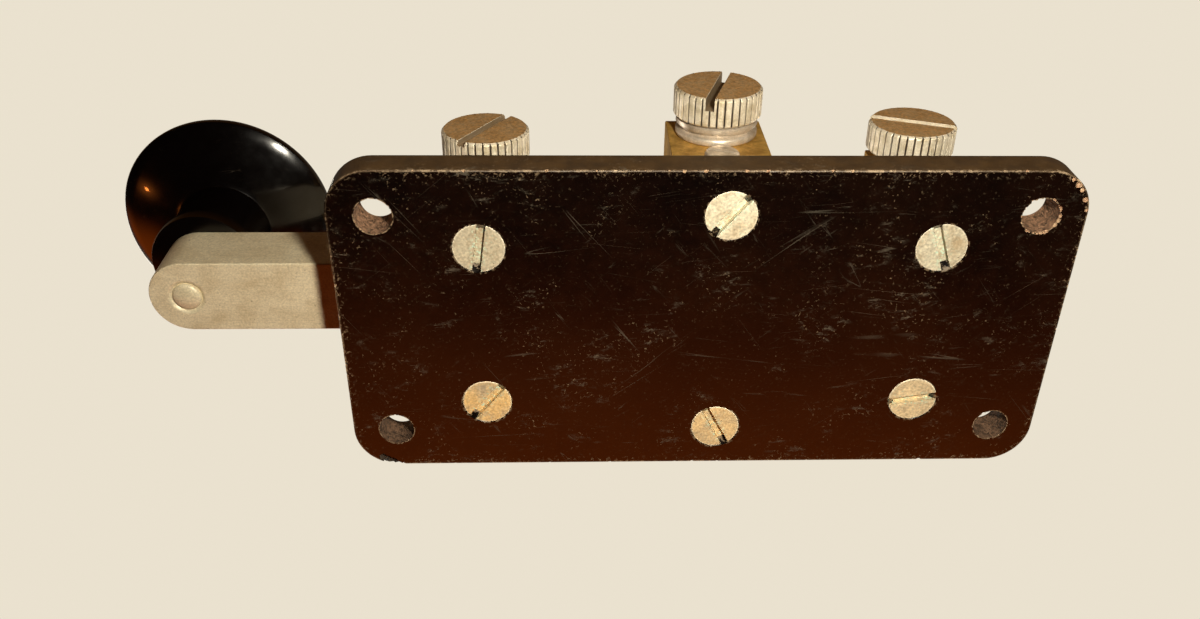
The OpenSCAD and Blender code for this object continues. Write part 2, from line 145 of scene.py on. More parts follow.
class KeySizes(bpy.types.PropertyGroup):
    """Sizes of what the dressed pieces add to the frame's boxes."""

    base_corner: size("Base corners", "Radius of the base plate's four corners", 7)
    base_edge: size("Base upper edge", "Rounding of the base plate's upper edge", 0.8)
    hole_d: size("Mounting holes", "Diameter of the four mounting holes", 5.8)
    hole_x: size("Hole spacing along", "Mounting holes, centre to centre along the key", 101.6)
    hole_y: size("Hole spacing across", "Mounting holes, centre to centre across the key", 39.2)
    edge_break: size("Edge break", "Bevel on the machined edges", 0.22)
    fine_break: size("Fine edge break", "Bevel on slots and teeth", 0.07)
    screw_d: size("Base screws", "Thread diameter of the base screws", 4)
    screw_slot: size("Base screw slots", "Width of the slots in the base screws", 1.3)
    screw_slot_depth: size("Base screw slot depth", "Depth of the slots in the base screws", 1.1)
    terminal_slot: size("Terminal slots", "Width of the slots in the terminal heads", 1.45)
    terminal_d: size("Terminal screws", "Thread diameter of the terminal screws", 4.7)
    terminal_head_l: size("Terminal heads", "Length of the knurled terminal heads", 4.9)
    terminal_teeth: repeats("Terminal teeth", "Teeth round a terminal head", 36, 12)
    adjuster_teeth: repeats("Adjuster teeth", "Teeth round an adjusting screw", 28, 12)
    crest: size("Crests", "How far the terminal heads' ribs stand out beyond the frame's heads", 0.2)
    knurl_depth: size("Knurl depth", "Depth of the straight teeth", 0.42)
    pitch: size("Thread pitch", "Pitch of the threads that show", 0.81)
    adjuster_d: size("Adjusting screws", "Thread diameter of the adjusting screws", 4.6)
    adjuster_head_l: size("Adjusting heads", "Length of the adjusting screws' heads", 4)
    adjuster_slot: size("Adjuster slots", "Width of the slots in the adjusting screws", 1.1)
    stud_recess: size("Stud recess", "Diameter of the recess round the stud's end", 5.9)
    foot_t: size("Bracket feet", "Thickness of the brackets' feet", 2.4)
    contact_post_t: size("Contact posts", "Thickness of the front and rear brackets' posts", 7.6)
    pivot_post_t: size("Pivot posts", "Thickness of the pivot bracket's posts", 7.2)
    far_post_h: size("Far post", "Height of the pivot bracket's far post", 15.4)
    wire_d: size("Spring wire", "Wire of the return spring", 0.7)
    spring_turns: repeats("Spring turns", "Turns of the return spring", 7, 3)


class KeyColours(bpy.types.PropertyGroup):
    """Colours of the finishes and the stage."""

    plastic: colour("Base plastic", "Moulded plastic of the base", (0.0022, 0.0011, 0.0008))
    plastic_warm: colour("Base plastic, warm", "Browner clouds in the plastic", (0.006, 0.0022, 0.0011))
    side_plastic: colour("Base sides", "Dull plastic of the base's side walls", (0.078, 0.04, 0.011))
    raw_plastic: colour("Broken plastic", "Plastic where the gloss is broken off", (0.42, 0.3, 0.18))
    hole_wall: colour("Hole wall", "Drilled plastic inside the holes", (0.38, 0.21, 0.12))
    scratch: colour("Scratch", "Fine scratches in the plastic", (0.3, 0.27, 0.2))
    knob: colour("Knob plastic", "Polished plastic of the knob", (0.0012, 0.0006, 0.0005))
    lever: colour("Lever plating", "Satin plating of the lever", (0.74, 0.64, 0.44))
    lever_dull: colour("Lever plating, dull", "Dulled plating of the lever", (0.6, 0.49, 0.31))
    head: colour("Head plating", "Plating on the knurled heads", (0.92, 0.82, 0.64))
    head_worn: colour("Head face", "Worn face of the knurled heads", (0.6, 0.34, 0.13))
    nickel: colour("Nickel", "Satin nickel of the collar, washers and threads", (0.7, 0.6, 0.48))
    nickel_dull: colour("Nickel, dull", "Dulled nickel", (0.38, 0.3, 0.21))
    screw: colour("Base screw", "Dull plating of the base screws", (0.7, 0.64, 0.47))
    screw_dull: colour("Base screw, dull", "Tarnish on the base screws", (0.5, 0.39, 0.24))
    # A gold tone, mixed in most on the far screw of each pair
    screw_gold: colour("Base screw, bare", "Metal where a screw's plating is gone", (0.84, 0.55, 0.21))
    verdigris: colour("Verdigris", "Pale green salts on the base screws", (0.5, 0.72, 0.56))
    brass: colour("Brass", "Aged brass of the brackets", (0.82, 0.5, 0.13))
    brass_dull: colour("Brass, dull", "Dark patches on the brass", (0.4, 0.22, 0.045))
    # Grime; where it darkens the knurled grooves it is also painted shade
    grime: colour("Grime", "Dirt in grooves and corners", (0.045, 0.026, 0.014))
    # Dirt in the front terminal's slot; in the pivot terminal's slot this colour is painted shade
    slot_dirt: colour("Slot dirt", "Dirt packed into the terminals' slots", (0.2, 0.12, 0.05))
    steel: colour("Steel", "Spring, axle and their points", (0.5, 0.49, 0.47))
    silver: colour("Silver", "Contact faces", (0.8, 0.79, 0.75))
    backdrop: colour("Backdrop", "Plain backdrop", (0.823, 0.755, 0.624))
    floor: colour("Floor", "Plain floor", (0.8, 0.74, 0.63))
    room: colour("Room", "Dark room that polished surfaces mirror", (0.005, 0.003, 0.002))
    wood: colour("Wood", "Lit wood that the base's lower face mirrors", (0.87, 0.14, 0.006))
    near_glow: colour("Near glow", "Soft glow above the near side", (0.54, 0.19, 0.02))
    far_glow: colour("Far glow", "Soft glow above the far side", (0.6, 0.5, 0.36))


def only(piece):
    """Makes one object the only selected one, and the active one."""
    bpy.ops.object.select_all(action="DESELECT")
    piece.select_set(True)
    bpy.context.view_layer.objects.active = piece


def settled(name):
    """Names the object just added and puts its place into its mesh."""
    piece = bpy.context.active_object
    piece.name = name
    piece.data.name = name
    only(piece)
    bpy.ops.object.transform_apply(location=True, rotation=True, scale=True)
    return piece


def add_block(name, low, high):
    """A block between two corners."""
    low, high = Vector(low), Vector(high)
    bpy.ops.object.select_all(action="DESELECT")
    bpy.ops.mesh.primitive_cube_add(size=1, location=(low + high) / 2, scale=high - low)
    return settled(name)


def add_rod(name, start, radius, length, axis="Z", end_radius=None, sides=64):
    """A round bar or cone that starts at a point and runs along an axis."""
    turn = Matrix.Identity(3) if axis == "Z" else Matrix.Rotation(AXIS_TURNS[axis][0], 3, "X")
    centre = Vector(start) + turn @ Vector((0, 0, length / 2))
    bpy.ops.object.select_all(action="DESELECT")
    bpy.ops.mesh.primitive_cone_add(
        vertices=sides, radius1=radius, radius2=radius if end_radius is None else end_radius,
        depth=length, location=centre, rotation=AXIS_TURNS[axis],
    )
    return settled(name)


def add_turned(name, profile, start=(0, 0, 0), axis="Z", steps=72):
    """Spins a line of (radius, height) points round an axis, as on a lathe."""
    bpy.ops.object.select_all(action="DESELECT")
    bpy.ops.mesh.primitive_plane_add(size=MM, location=(0, 0, 0))
    bpy.ops.object.mode_set(mode="EDIT")
    bpy.ops.mesh.select_mode(type="VERT")
    bpy.ops.mesh.merge(type="CENTER")
    bpy.ops.transform.translate(value=(profile[0][0], 0, profile[0][1]))
    for (r0, h0), (r1, h1) in zip(profile, profile[1:]):
        bpy.ops.mesh.extrude_vertices_move(TRANSFORM_OT_translate={"value": (r1 - r0, 0, h1 - h0)})
    bpy.ops.mesh.select_all(action="SELECT")
    bpy.ops.mesh.spin(steps=steps, angle=math.tau, center=(0, 0, 0), axis=(0, 0, 1))
    bpy.ops.mesh.select_all(action="SELECT")
    bpy.ops.mesh.remove_doubles(threshold=SAME_PLACE)
    bpy.ops.mesh.normals_make_consistent(inside=False)
    bpy.ops.object.mode_set(mode="OBJECT")
    piece = bpy.context.active_object
    piece.rotation_euler = AXIS_TURNS[axis]
    piece.location = start
    return settled(name)


def select_parts(piece, kind, test):
    """In edit mode, selects the vertices, edges or faces that pass a test."""
    bpy.ops.mesh.select_mode(type=kind)
    bpy.ops.mesh.select_all(action="DESELECT")
    mesh = bmesh.from_edit_mesh(piece.data)
    parts = {"VERT": mesh.verts, "EDGE": mesh.edges, "FACE": mesh.faces}[kind]
    for part in parts:
        part.select_set(test(part))
    bmesh.update_edit_mesh(piece.data)


def is_upright(edge):
    """True for an edge that runs along Z."""
    a, b = (vertex.co for vertex in edge.verts)
    return (a.xy - b.xy).length < SAME_PLACE


def lies_at(axis, value):
    """A test for edges that lie at one height of an axis."""
    return lambda edge: all(abs(vertex.co[axis] - value) < SAME_PLACE for vertex in edge.verts)


def round_edges(piece, test, radius, segments):
    """Rounds the edges that pass a test."""
    only(piece)
    bpy.ops.object.mode_set(mode="EDIT")
    select_parts(piece, "EDGE", test)
    bpy.ops.mesh.bevel(offset=radius, segments=segments, affect="EDGES", clamp_overlap=True)
    bpy.ops.mesh.select_all(action="SELECT")
    bpy.ops.mesh.remove_doubles(threshold=SAME_PLACE)
    bpy.ops.object.mode_set(mode="OBJECT")


def add_modifier(piece, kind, **settings):
    """Adds a modifier and applies it."""
    only(piece)
    bpy.ops.object.modifier_add(type=kind)
    modifier = piece.modifiers[-1]
    for setting, value in settings.items():
        setattr(modifier, setting, value)
    bpy.ops.object.modifier_apply(modifier=modifier.name)


def combine(piece, tool, operation, overlapping=False):
    """Cuts or trims a piece with another, which is used up."""
    add_modifier(
        piece, "BOOLEAN", object=tool, operation=operation, solver="EXACT",
        material_mode="TRANSFER", use_self=overlapping,
    )
    bpy.data.meshes.remove(tool.data)


def cut(piece, tool, overlapping=False):
    """Cuts a shape out of a piece."""
    combine(piece, tool, "DIFFERENCE", overlapping)


def bore(piece, start, radius, length, axis="Z", end_radius=None, sides=64):
    """Cuts a round or tapered hole that starts at a point and runs along an axis."""
    cut(piece, add_rod("bore", start, radius, length, axis, end_radius, sides))


def cut_slot(piece, reach, width, low, high):
    """Cuts a straight slot across a round piece, between two heights."""
    cut(piece, add_block("slot", (-reach, -width / 2, low), (reach, width / 2, high)))


def break_edges(piece, width, segments=2, angle=35):
    """Bevels the sharp edges that are left and sets the shading."""
    add_modifier(
        piece, "BEVEL", width=width, segments=segments, limit_method="ANGLE",
        angle_limit=math.radians(angle), use_clamp_overlap=False,
    )
    smooth(piece)
    add_modifier(piece, "WEIGHTED_NORMAL", keep_sharp=True)


def smooth(piece, angle=32):
    """Shades round surfaces smooth and keeps sharp corners sharp."""
    only(piece)
    bpy.ops.object.shade_smooth_by_angle(angle=math.radians(angle))


def coat(piece, *materials):
    """Gives a piece its materials."""
    piece.data.materials.clear()
    for material in materials:
        piece.data.materials.append(material)


def copied(piece, name):
    """A copy of a piece with a mesh of its own."""
    only(piece)
    bpy.ops.object.duplicate(linked=False)
    twin = bpy.context.active_object
    twin.name = name
    twin.data.name = name
    return twin


def put_at(piece, place, axis="Z", turn=0):
    """Turns a piece about its own axis, points it along another and moves it to a place."""
    piece.matrix_world = (
        Matrix.Translation(place)
        @ Matrix.Rotation(AXIS_TURNS[axis][0], 4, "X")
        @ Matrix.Rotation(turn, 4, "Z")
    )
    only(piece)
    bpy.ops.object.transform_apply(location=True, rotation=True, scale=True)


def join(pieces, name):
    """Joins separate solids that stand for one node."""
    bpy.ops.object.select_all(action="DESELECT")
    for piece in pieces:
        piece.select_set(True)
    bpy.context.view_layer.objects.active = pieces[0]
    bpy.ops.object.join()
    return settled(name)


def stand_in(piece, slot, *nodes):
    """Puts a finished piece in the place of its nodes, on the body that they ride on."""
    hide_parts(*nodes)
    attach(piece, frame["nodes"][nodes[0]]["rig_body"])


def turn_piece(name, node, slot, material, profile, start, axis="Z", steps=72, angle=32):
    """Turns a whole piece as on a lathe and puts it in the place of its node."""
    piece = add_turned(name, profile, start, axis, steps)
    coat(piece, material)
    smooth(piece, angle)
    stand_in(piece, slot, node)


def centre_of(node):
    """The middle of a node's box."""
    low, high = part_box(node)
    return (low + high) / 2


def radius_of(node):
    """Half a node's width along the key."""
    low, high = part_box(node)
    return (high.x - low.x) / 2


def screw_rows(screws, room=0):
    """Where the two screws of a pair stand across the key, or places moved inwards by some room."""
    low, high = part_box(screws)
    inset = radius_of(screws) + room
    return low.y + inset, high.y - inset


def plan_map(piece, radius):
    """Maps a round piece from above while its middle is at the origin, so that its marks turn with it."""
    layer = piece.data.uv_layers.new(name="plan")
    for loop in piece.data.loops:
        place = piece.data.vertices[loop.vertex_index].co
        layer.data[loop.index].uv = (0.5 + place.x / (2 * radius), 0.5 + place.y / (2 * radius))


def curve_points(p, steps):
    """Points on the curve that four control points make, without its first one."""
    points = []
    for i in range(1, steps + 1):
        t = i / steps
        shares = ((1 - t) ** 3, 3 * (1 - t) ** 2 * t, 3 * (1 - t) * t * t, t ** 3)
        points.append(tuple(sum(s * q[k] for s, q in zip(shares, p)) for k in (0, 1)))
    return points


def thread_line(radius, low, high, pitch):
    """The edge of a thread from low to high, as crests and roots, with a lead-in at the top."""
    depth = 0.45 * pitch
    turns = max(1, round((high - low) / pitch))
    step = (high - low) / turns
    points = [(radius - depth, low)]
    for i in range(turns):
        points.append((radius, low + (i + 0.35) * step))
        points.append((radius, low + (i + 0.5) * step))
        points.append((radius - depth, low + (i + 0.85) * step))
    points.append((radius - depth, high))
    return points


# Materials


def put(tree, kind, inputs=None, **settings):
    """Adds a node, sets it up and links or fills its inputs."""
    node = tree.nodes.new("ShaderNode" + kind)
    for setting, value in settings.items():
        setattr(node, setting, value)
    for key, value in (inputs or {}).items():
        if isinstance(value, bpy.types.NodeSocket):
            tree.links.new(value, node.inputs[key])
        else:
            node.inputs[key].default_value = value
    return node


def maths(tree, operation, a, b=0.0, clamp=False):
    """One step of arithmetic."""
    return put(tree, "Math", {0: a, 1: b}, operation=operation, use_clamp=clamp).outputs[0]


def plus(tree, a, b, clamp=False):
    """One value added to another."""
    return maths(tree, "ADD", a, b, clamp)


def minus(tree, a, b, clamp=False):
    """One value less another."""
    return maths(tree, "SUBTRACT", a, b, clamp)


def times(tree, a, b, clamp=False):
    """One value times another."""
    return maths(tree, "MULTIPLY", a, b, clamp)


def most(tree, a, b):
    """The larger of two values."""
    return maths(tree, "MAXIMUM", a, b)


def vector_maths(tree, operation, a, b=(0, 0, 0)):
    """One step of vector arithmetic."""
    return put(tree, "VectorMath", {0: a, 1: b}, operation=operation).outputs[0]


def scaled(tree, a, factor):
    """A vector or colour times a number."""
    return put(tree, "VectorMath", {0: a, "Scale": factor}, operation="SCALE").outputs[0]


def length_of(tree, a):
    """The length of a vector."""
    return put(tree, "VectorMath", {0: a}, operation="LENGTH").outputs["Value"]


def coordinate(tree, a, axis):
    """One coordinate of a vector."""
    return put(tree, "SeparateXYZ", {0: a}).outputs[axis]


def stored(tree, name):
    """A value that a mesh stores for its material."""
    return put(tree, "Attribute", attribute_name=name).outputs["Fac"]


def ramp(tree, value, start, end, low=0.0, high=1.0):
    """Maps a value from one range to another with soft ends."""
    inputs = {"Value": value, "From Min": start, "From Max": end, "To Min": low, "To Max": high}
    return put(tree, "MapRange", inputs, interpolation_type="SMOOTHSTEP").outputs[0]


def mix(tree, share, a, b):
    """Mixes two colours."""
    inputs = {0: share}
    for key, value in ((6, a), (7, b)):
        inputs[key] = value if isinstance(value, bpy.types.NodeSocket) else (*value, 1)
    return put(tree, "Mix", inputs, data_type="RGBA").outputs[2]


def noise(tree, place, scale, detail=2.0, rough=0.5, warp=0.0):
    """Cloud noise between 0 and 1."""
    inputs = {"Vector": place, "Scale": scale, "Detail": detail, "Roughness": rough, "Distortion": warp}
    return put(tree, "TexNoise", inputs).outputs[0]


def place_in_mm(tree):
    """Object coordinates in millimetres."""
    return scaled(tree, put(tree, "TexCoord").outputs["Object"], 1 / MM)


def start_group(name, inputs, outputs):
    """A new node group with named sockets, or the one that was built before."""
    if name in bpy.data.node_groups:
        return bpy.data.node_groups[name], None, None
    tree = bpy.data.node_groups.new(name, "ShaderNodeTree")
    for socket_name, (kind, value) in inputs.items():
        socket = tree.interface.new_socket(name=socket_name, in_out="INPUT", socket_type="NodeSocket" + kind)
        socket.default_value = value
    for socket_name, kind in outputs.items():
        tree.interface.new_socket(name=socket_name, in_out="OUTPUT", socket_type="NodeSocket" + kind)
    return tree, tree.nodes.new("NodeGroupInput").outputs, tree.nodes.new("NodeGroupOutput").inputs


def use_group(tree, group, **inputs):
    """Places a node group in a material, its sockets named with _ for a space."""
    node = tree.nodes.new("ShaderNodeGroup")
    node.node_tree = group
    for key, value in inputs.items():
        socket = node.inputs[key.replace("_", " ")]
        if isinstance(value, bpy.types.NodeSocket):
            tree.links.new(value, socket)
        elif socket.type == "RGBA":
            socket.default_value = (*value, 1)
        else:
            socket.default_value = value
    return node.outputs


def scratches_group():
    """Fine lines in several directions, broken up so that each is short."""
    tree, given, result = start_group(
        "Scratches",
        {
            "Vector": ("Vector", (0, 0, 0)), "Density": ("Float", 1.0), "Width": ("Float", 0.02),
            "Cover": ("Float", 0.5),
        },
        {"Mask": "Float"},
    )
    if given is None:
        return tree
    grid = scaled(tree, given["Vector"], given["Density"])
    edge = minus(tree, 0.74, times(tree, given["Cover"], 0.28))
    marks = 0.0
    for turn, stretch in ((2, 0.02), (9, 0.03), (-7, 0.025), (38, 0.04), (128, 0.05)):
        angle = math.radians(turn)
        turned = put(tree, "VectorRotate", {"Vector": grid, "Angle": angle}, rotation_type="Z_AXIS")
        moved = vector_maths(tree, "ADD", turned.outputs[0], (7 * turn, 3 * turn, 0))
        drawn = vector_maths(tree, "MULTIPLY", moved, (stretch, 1, 1))
        away = maths(tree, "ABSOLUTE", minus(tree, noise(tree, drawn, 1.0, 1.0), 0.5))
        line = minus(tree, 1.0, maths(tree, "DIVIDE", away, given["Width"]), clamp=True)
        broken = vector_maths(tree, "MULTIPLY", moved, (0.14, 0.6, 1))
        shown = times(tree, minus(tree, noise(tree, broken, 1.0, 2.0), edge), 8.0, clamp=True)
        marks = most(tree, marks, times(tree, line, shown))
    tree.links.new(marks, result["Mask"])
    return tree


def specks_group():
    """Scattered spots with ragged edges."""
    tree, given, result = start_group(
        "Specks",
        {"Vector": ("Vector", (0, 0, 0)), "Scale": ("Float", 1.0), "Cover": ("Float", 0.3)},
        {"Mask": "Float"},
    )
    if given is None:
        return tree
    cloud = noise(tree, given["Vector"], given["Scale"], 4.0, 0.65, 0.4)
    edge = minus(tree, 0.8, times(tree, given["Cover"], 0.45))
    tree.links.new(times(tree, minus(tree, cloud, edge), 14.0, clamp=True), result["Mask"])
    return tree


def outline_group():
    """Distance in from the outline of a plate with rounded corners."""
    tree, given, result = start_group(
        "Outline Distance",
        {"Vector": ("Vector", (0, 0, 0)), "Half Size": ("Vector", (1, 1, 0)), "Corner": ("Float", 1.0)},
        {"Distance": "Float"},
    )
    if given is None:
        return tree
    corner = put(tree, "CombineXYZ", {"X": given["Corner"], "Y": given["Corner"]}).outputs[0]
    inner = vector_maths(tree, "SUBTRACT", given["Half Size"], corner)
    beyond = vector_maths(tree, "SUBTRACT", vector_maths(tree, "ABSOLUTE", given["Vector"]), inner)
    flat = vector_maths(tree, "MULTIPLY", beyond, (1, 1, 0))
    reach = length_of(tree, vector_maths(tree, "MAXIMUM", flat, (0, 0, 0)))
    furthest = most(tree, coordinate(tree, flat, "X"), coordinate(tree, flat, "Y"))
    inside = maths(tree, "MINIMUM", furthest, 0.0)
    tree.links.new(minus(tree, given["Corner"], plus(tree, reach, inside)), result["Distance"])
    return tree


def ring_group():
    """Distance out from the rim of a round hole."""
    tree, given, result = start_group(
        "Ring Distance",
        {"Vector": ("Vector", (0, 0, 0)), "Centre": ("Vector", (0, 0, 0)), "Radius": ("Float", 1.0)},
        {"Distance": "Float"},
    )
    if given is None:
        return tree
    away = vector_maths(tree, "SUBTRACT", given["Vector"], given["Centre"])
    reach = length_of(tree, vector_maths(tree, "MULTIPLY", away, (1, 1, 0)))
    tree.links.new(minus(tree, reach, given["Radius"]), result["Distance"])
    return tree


def worn_metal_group():
    """Clean and dull patches, dirt specks and fine grain of an old metal surface."""
    tree, given, result = start_group(
        "Worn Metal",
        {
            "Vector": ("Vector", (0, 0, 0)), "Clean": ("Color", (1, 1, 1, 1)),
            "Dull": ("Color", (0.5, 0.5, 0.5, 1)), "Grime": ("Color", (0, 0, 0, 1)),
            "Patch Scale": ("Float", 0.3), "Grain Scale": ("Float", 4.0), "Grain Contrast": ("Float", 0.7),
            "Dull Share": ("Float", 0.4), "Grime Share": ("Float", 0.2), "Smoothness": ("Float", 0.4),
        },
        {"Color": "Color", "Roughness": "Float", "Height": "Float"},
    )
    if given is None:
        return tree
    patches = noise(tree, given["Vector"], given["Patch Scale"], 5.0, 0.6, 0.3)
    threshold = minus(tree, 0.63, times(tree, given["Dull Share"], 0.5))
    dull = times(tree, minus(tree, patches, threshold), 4.0, clamp=True)
    grain = noise(tree, given["Vector"], given["Grain Scale"], 3.0, 0.6)
    uneven = minus(tree, grain, 0.5)
    marks = specks(tree, given["Vector"], 1.7, given["Grime Share"])
    surface = mix(tree, dull, given["Clean"], given["Dull"])
    surface = scaled(tree, surface, plus(tree, times(tree, uneven, given["Grain Contrast"]), 0.95))
    surface = mix(tree, times(tree, marks, 0.75), surface, given["Grime"])
    rough = plus(tree, minus(tree, 0.85, given["Smoothness"]), times(tree, dull, 0.12))
    rough = plus(tree, rough, times(tree, uneven, 0.3), clamp=True)
    tree.links.new(surface, result["Color"])
    tree.links.new(rough, result["Roughness"])
    tree.links.new(minus(tree, grain, times(tree, marks, 0.6)), result["Height"])
    return tree


def scratches(tree, place, density, width, cover):
    """A mask of fine scratches."""
    return use_group(tree, scratches_group(), Vector=place, Density=density, Width=width, Cover=cover)[0]


def specks(tree, place, scale, cover):
    """A mask of scattered spots."""
    return use_group(tree, specks_group(), Vector=place, Scale=scale, Cover=cover)[0]


def worn_metal(tree, place, clean, dull, **given):
    """The colour, roughness and height of an old metal surface."""
    grime = bpy.context.scene.key_colours.grime
    return use_group(tree, worn_metal_group(), Vector=place, Clean=clean, Dull=dull, Grime=grime, **given)


def start_material(name):
    """A node material with one shader; returns the material, its tree and the shader."""
    material = bpy.data.materials.new(name)
    material.use_nodes = True
    tree = material.node_tree
    tree.nodes.clear()
    shader = tree.nodes.new("ShaderNodeBsdfPrincipled")
    output = tree.nodes.new("ShaderNodeOutputMaterial")
    tree.links.new(shader.outputs[0], output.inputs["Surface"])
    return material, tree, shader


def feed(tree, shader, colour_value, rough, height=None, depth_mm=0.02, strength=1.0):
    """Links colour, roughness and bump to a shader."""
    tree.links.new(colour_value, shader.inputs["Base Color"])
    tree.links.new(rough, shader.inputs["Roughness"])
    if height is not None:
        bump = put(tree, "Bump", {"Height": height, "Distance": depth_mm * MM, "Strength": strength})
        tree.links.new(bump.outputs[0], shader.inputs["Normal"])


def made_once(build):
    """A material is built at its first use and shared after that."""
    def find(*given):
        name = build.__name__ + "".join(f"_{value}" for value in given)
        return bpy.data.materials.get(name) or build(name, *given)
    return find


def worn_rims(tree, place, sizes):
    """Pale rims round the four mounting holes."""
    hole = (sizes.hole_x / 2 / MM, sizes.hole_y / 2 / MM, 0)
    mirrored = vector_maths(tree, "ABSOLUTE", place)
    around = use_group(tree, ring_group(), Vector=mirrored, Centre=hole, Radius=sizes.hole_d / 2 / MM)[0]
    broken = ramp(tree, noise(tree, place, 1.6, 4.0), 0.42, 0.56)
    return times(tree, ramp(tree, around, 0.03, 0.24, 0.6, 0.0), broken)


def worn_seats(tree, place):
    """Pale rims round the screw seats; both seats of a pair come from one ring."""
    across = vector_maths(tree, "MULTIPLY", vector_maths(tree, "ABSOLUTE", place), (0, 1, 1))
    folded = vector_maths(tree, "ADD", across, vector_maths(tree, "MULTIPLY", place, (1, 0, 0)))
    broken = ramp(tree, noise(tree, place, 1.3, 4.0), 0.5, 0.6)
    worn = 0.0
    for bracket in BASE_SCREWS:
        screws = bracket + "_bracket_screws"
        radius = radius_of(screws) / MM
        centre = (centre_of(screws).x / MM, screw_rows(screws)[1] / MM, 0)
        ring = use_group(tree, ring_group(), Vector=folded, Centre=centre, Radius=radius)[0]
        seat = times(tree, ramp(tree, ring, 0.05, 0.3, 1.0, 0.0), broken)
        worn = most(tree, worn, times(tree, seat, 0.35))
    return worn


def worn_outline(tree, place, inside):
    """Pale dashes and flakes along the base's lower edge, strong only on some stretches."""
    off_edge = most(tree, inside, coordinate(tree, place, "Z"))
    stretches = ramp(tree, noise(tree, place, 0.045, 2.0), 0.4, 0.62, 0.35, 1.0)
    dashes = ramp(tree, noise(tree, place, 0.8, 5.0, 0.75), 0.47, 0.6, 0.12, 1.0)
    dashes = times(tree, ramp(tree, off_edge, 0.12, 0.42, 1.0, 0.0), times(tree, dashes, stretches))
    flakes = times(tree, ramp(tree, off_edge, 0.3, 1.6, 1.0, 0.0), specks(tree, place, 1.5, 0.5))
    return most(tree, dashes, times(tree, flakes, times(tree, stretches, 0.6)))


def side_walls(tree, place, inside, half_length):
    """1 on the base's long side walls, 0 towards their ends and on the other faces."""
    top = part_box("base_plate")[1].z / MM
    below_top = ramp(tree, coordinate(tree, place, "Z"), top, top - 1.2)
    wall = times(tree, ramp(tree, inside, 0.12, 0.3, 1.0, 0.0), below_top)
    off_middle = coordinate(tree, vector_maths(tree, "ABSOLUTE", place), "X")
    return times(tree, wall, ramp(tree, off_middle, half_length - 4, half_length - 0.5, 1.0, 0.0))


@made_once
def moulded_plastic(name):
    """Glossy moulded plastic, scratched and scuffed, with pale flakes along its edges and holes."""
    colours, sizes = bpy.context.scene.key_colours, bpy.context.scene.key_sizes
    material, tree, shader = start_material(name)
    place = place_in_mm(tree)
    low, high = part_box("base_plate")
    half = ((high.x - low.x) / 2 / MM, (high.y - low.y) / 2 / MM, 0)
    inside = use_group(tree, outline_group(), Vector=place, Half_Size=half, Corner=sizes.base_corner / MM)[0]
    fine, long = scratches(tree, place, 0.9, 0.012, 0.34), scratches(tree, place, 0.35, 0.005, 0.42)
    lines = most(tree, times(tree, fine, 0.55), long)
    clusters = ramp(tree, noise(tree, place, 0.09, 4.0, 0.65, 0.8), 0.48, 0.66)
    dust = times(tree, specks(tree, place, 1.9, 0.42), plus(tree, clusters, 0.16, clamp=True))
    smears = noise(tree, vector_maths(tree, "MULTIPLY", place, (0.45, 1, 1)), 0.6, 6.0, 0.8, 0.5)
    haze = times(tree, clusters, ramp(tree, smears, 0.54, 0.7))
    wear = most(tree, worn_outline(tree, place, inside), worn_rims(tree, place, sizes))
    wear = most(tree, wear, worn_seats(tree, place))
    side = side_walls(tree, place, inside, half[0])
    blotches = ramp(tree, noise(tree, place, 0.3, 5.0, 0.65), 0.3, 0.7, 0.55, 1.0)
    warm = ramp(tree, noise(tree, place, 0.05, 3.0), 0.35, 0.7)
    surface = mix(tree, warm, colours.plastic, colours.plastic_warm)
    for share, tint in (
        (times(tree, side, blotches), colours.side_plastic),
        (times(tree, haze, 0.28), colours.scratch),
        (times(tree, lines, 0.26), colours.scratch),
        (times(tree, dust, 0.36), colours.raw_plastic),
        (wear, colours.raw_plastic),
    ):
        surface = mix(tree, share, surface, tint)
    damage = most(tree, wear, times(tree, lines, 0.3))
    polish = ramp(tree, noise(tree, place, 0.5, 5.0, 0.6), 0.3, 0.7, 0.12, 0.2)
    rough = plus(tree, polish, times(tree, most(tree, damage, side), 0.45))
    rough = plus(tree, rough, times(tree, haze, 0.25), clamp=True)
    height = minus(tree, times(tree, noise(tree, place, 0.45, 2.0), 0.25), times(tree, damage, 0.8))
    feed(tree, shader, surface, rough, height, 0.03, 0.6)
    shader.inputs["IOR"].default_value = 1.6
    return material


@made_once
def broken_plastic(name, kind):
    """Dull filled plastic where it was drilled or chipped, darker towards the far side."""
    colours = bpy.context.scene.key_colours
    light, dark, crumb_share = {
        "pale": (colours.raw_plastic, colours.hole_wall, 0.4),
        "dull": (colours.hole_wall, colours.grime, 0.4),
        "black": (colours.side_plastic, colours.plastic, 0.05),
    }[kind]
    material, tree, shader = start_material(name)
    place = place_in_mm(tree)
    grain = noise(tree, place, 1.4, 6.0, 0.78, 0.8)
    surface = mix(tree, ramp(tree, grain, 0.35, 0.65), dark, light)
    crumbs = times(tree, specks(tree, place, 4.0, 0.5), crumb_share)
    surface = mix(tree, crumbs, surface, colours.raw_plastic)
    surface = scaled(tree, surface, ramp(tree, coordinate(tree, place, "Y"), -10, 20, 1.1, 0.55))
    feed(tree, shader, surface, ramp(tree, grain, 0.3, 0.7, 0.5, 0.85), grain, 0.25, 1.0)
    return material


def polished_share(tree, place):
    """1 where fingers keep the knob polished, 0 in the hollow round its neck."""
    centre = centre_of("knob") / MM
    hollow_r, polished_r, rim_top, crown = 10.5, 15, 42, 44
    flat = vector_maths(tree, "MULTIPLY", place, (1, 1, 0))
    away = vector_maths(tree, "SUBTRACT", flat, (centre.x, centre.y, 0))
    above = ramp(tree, coordinate(tree, place, "Z"), rim_top, crown)
    return most(tree, ramp(tree, length_of(tree, away), hollow_r, polished_r), above)


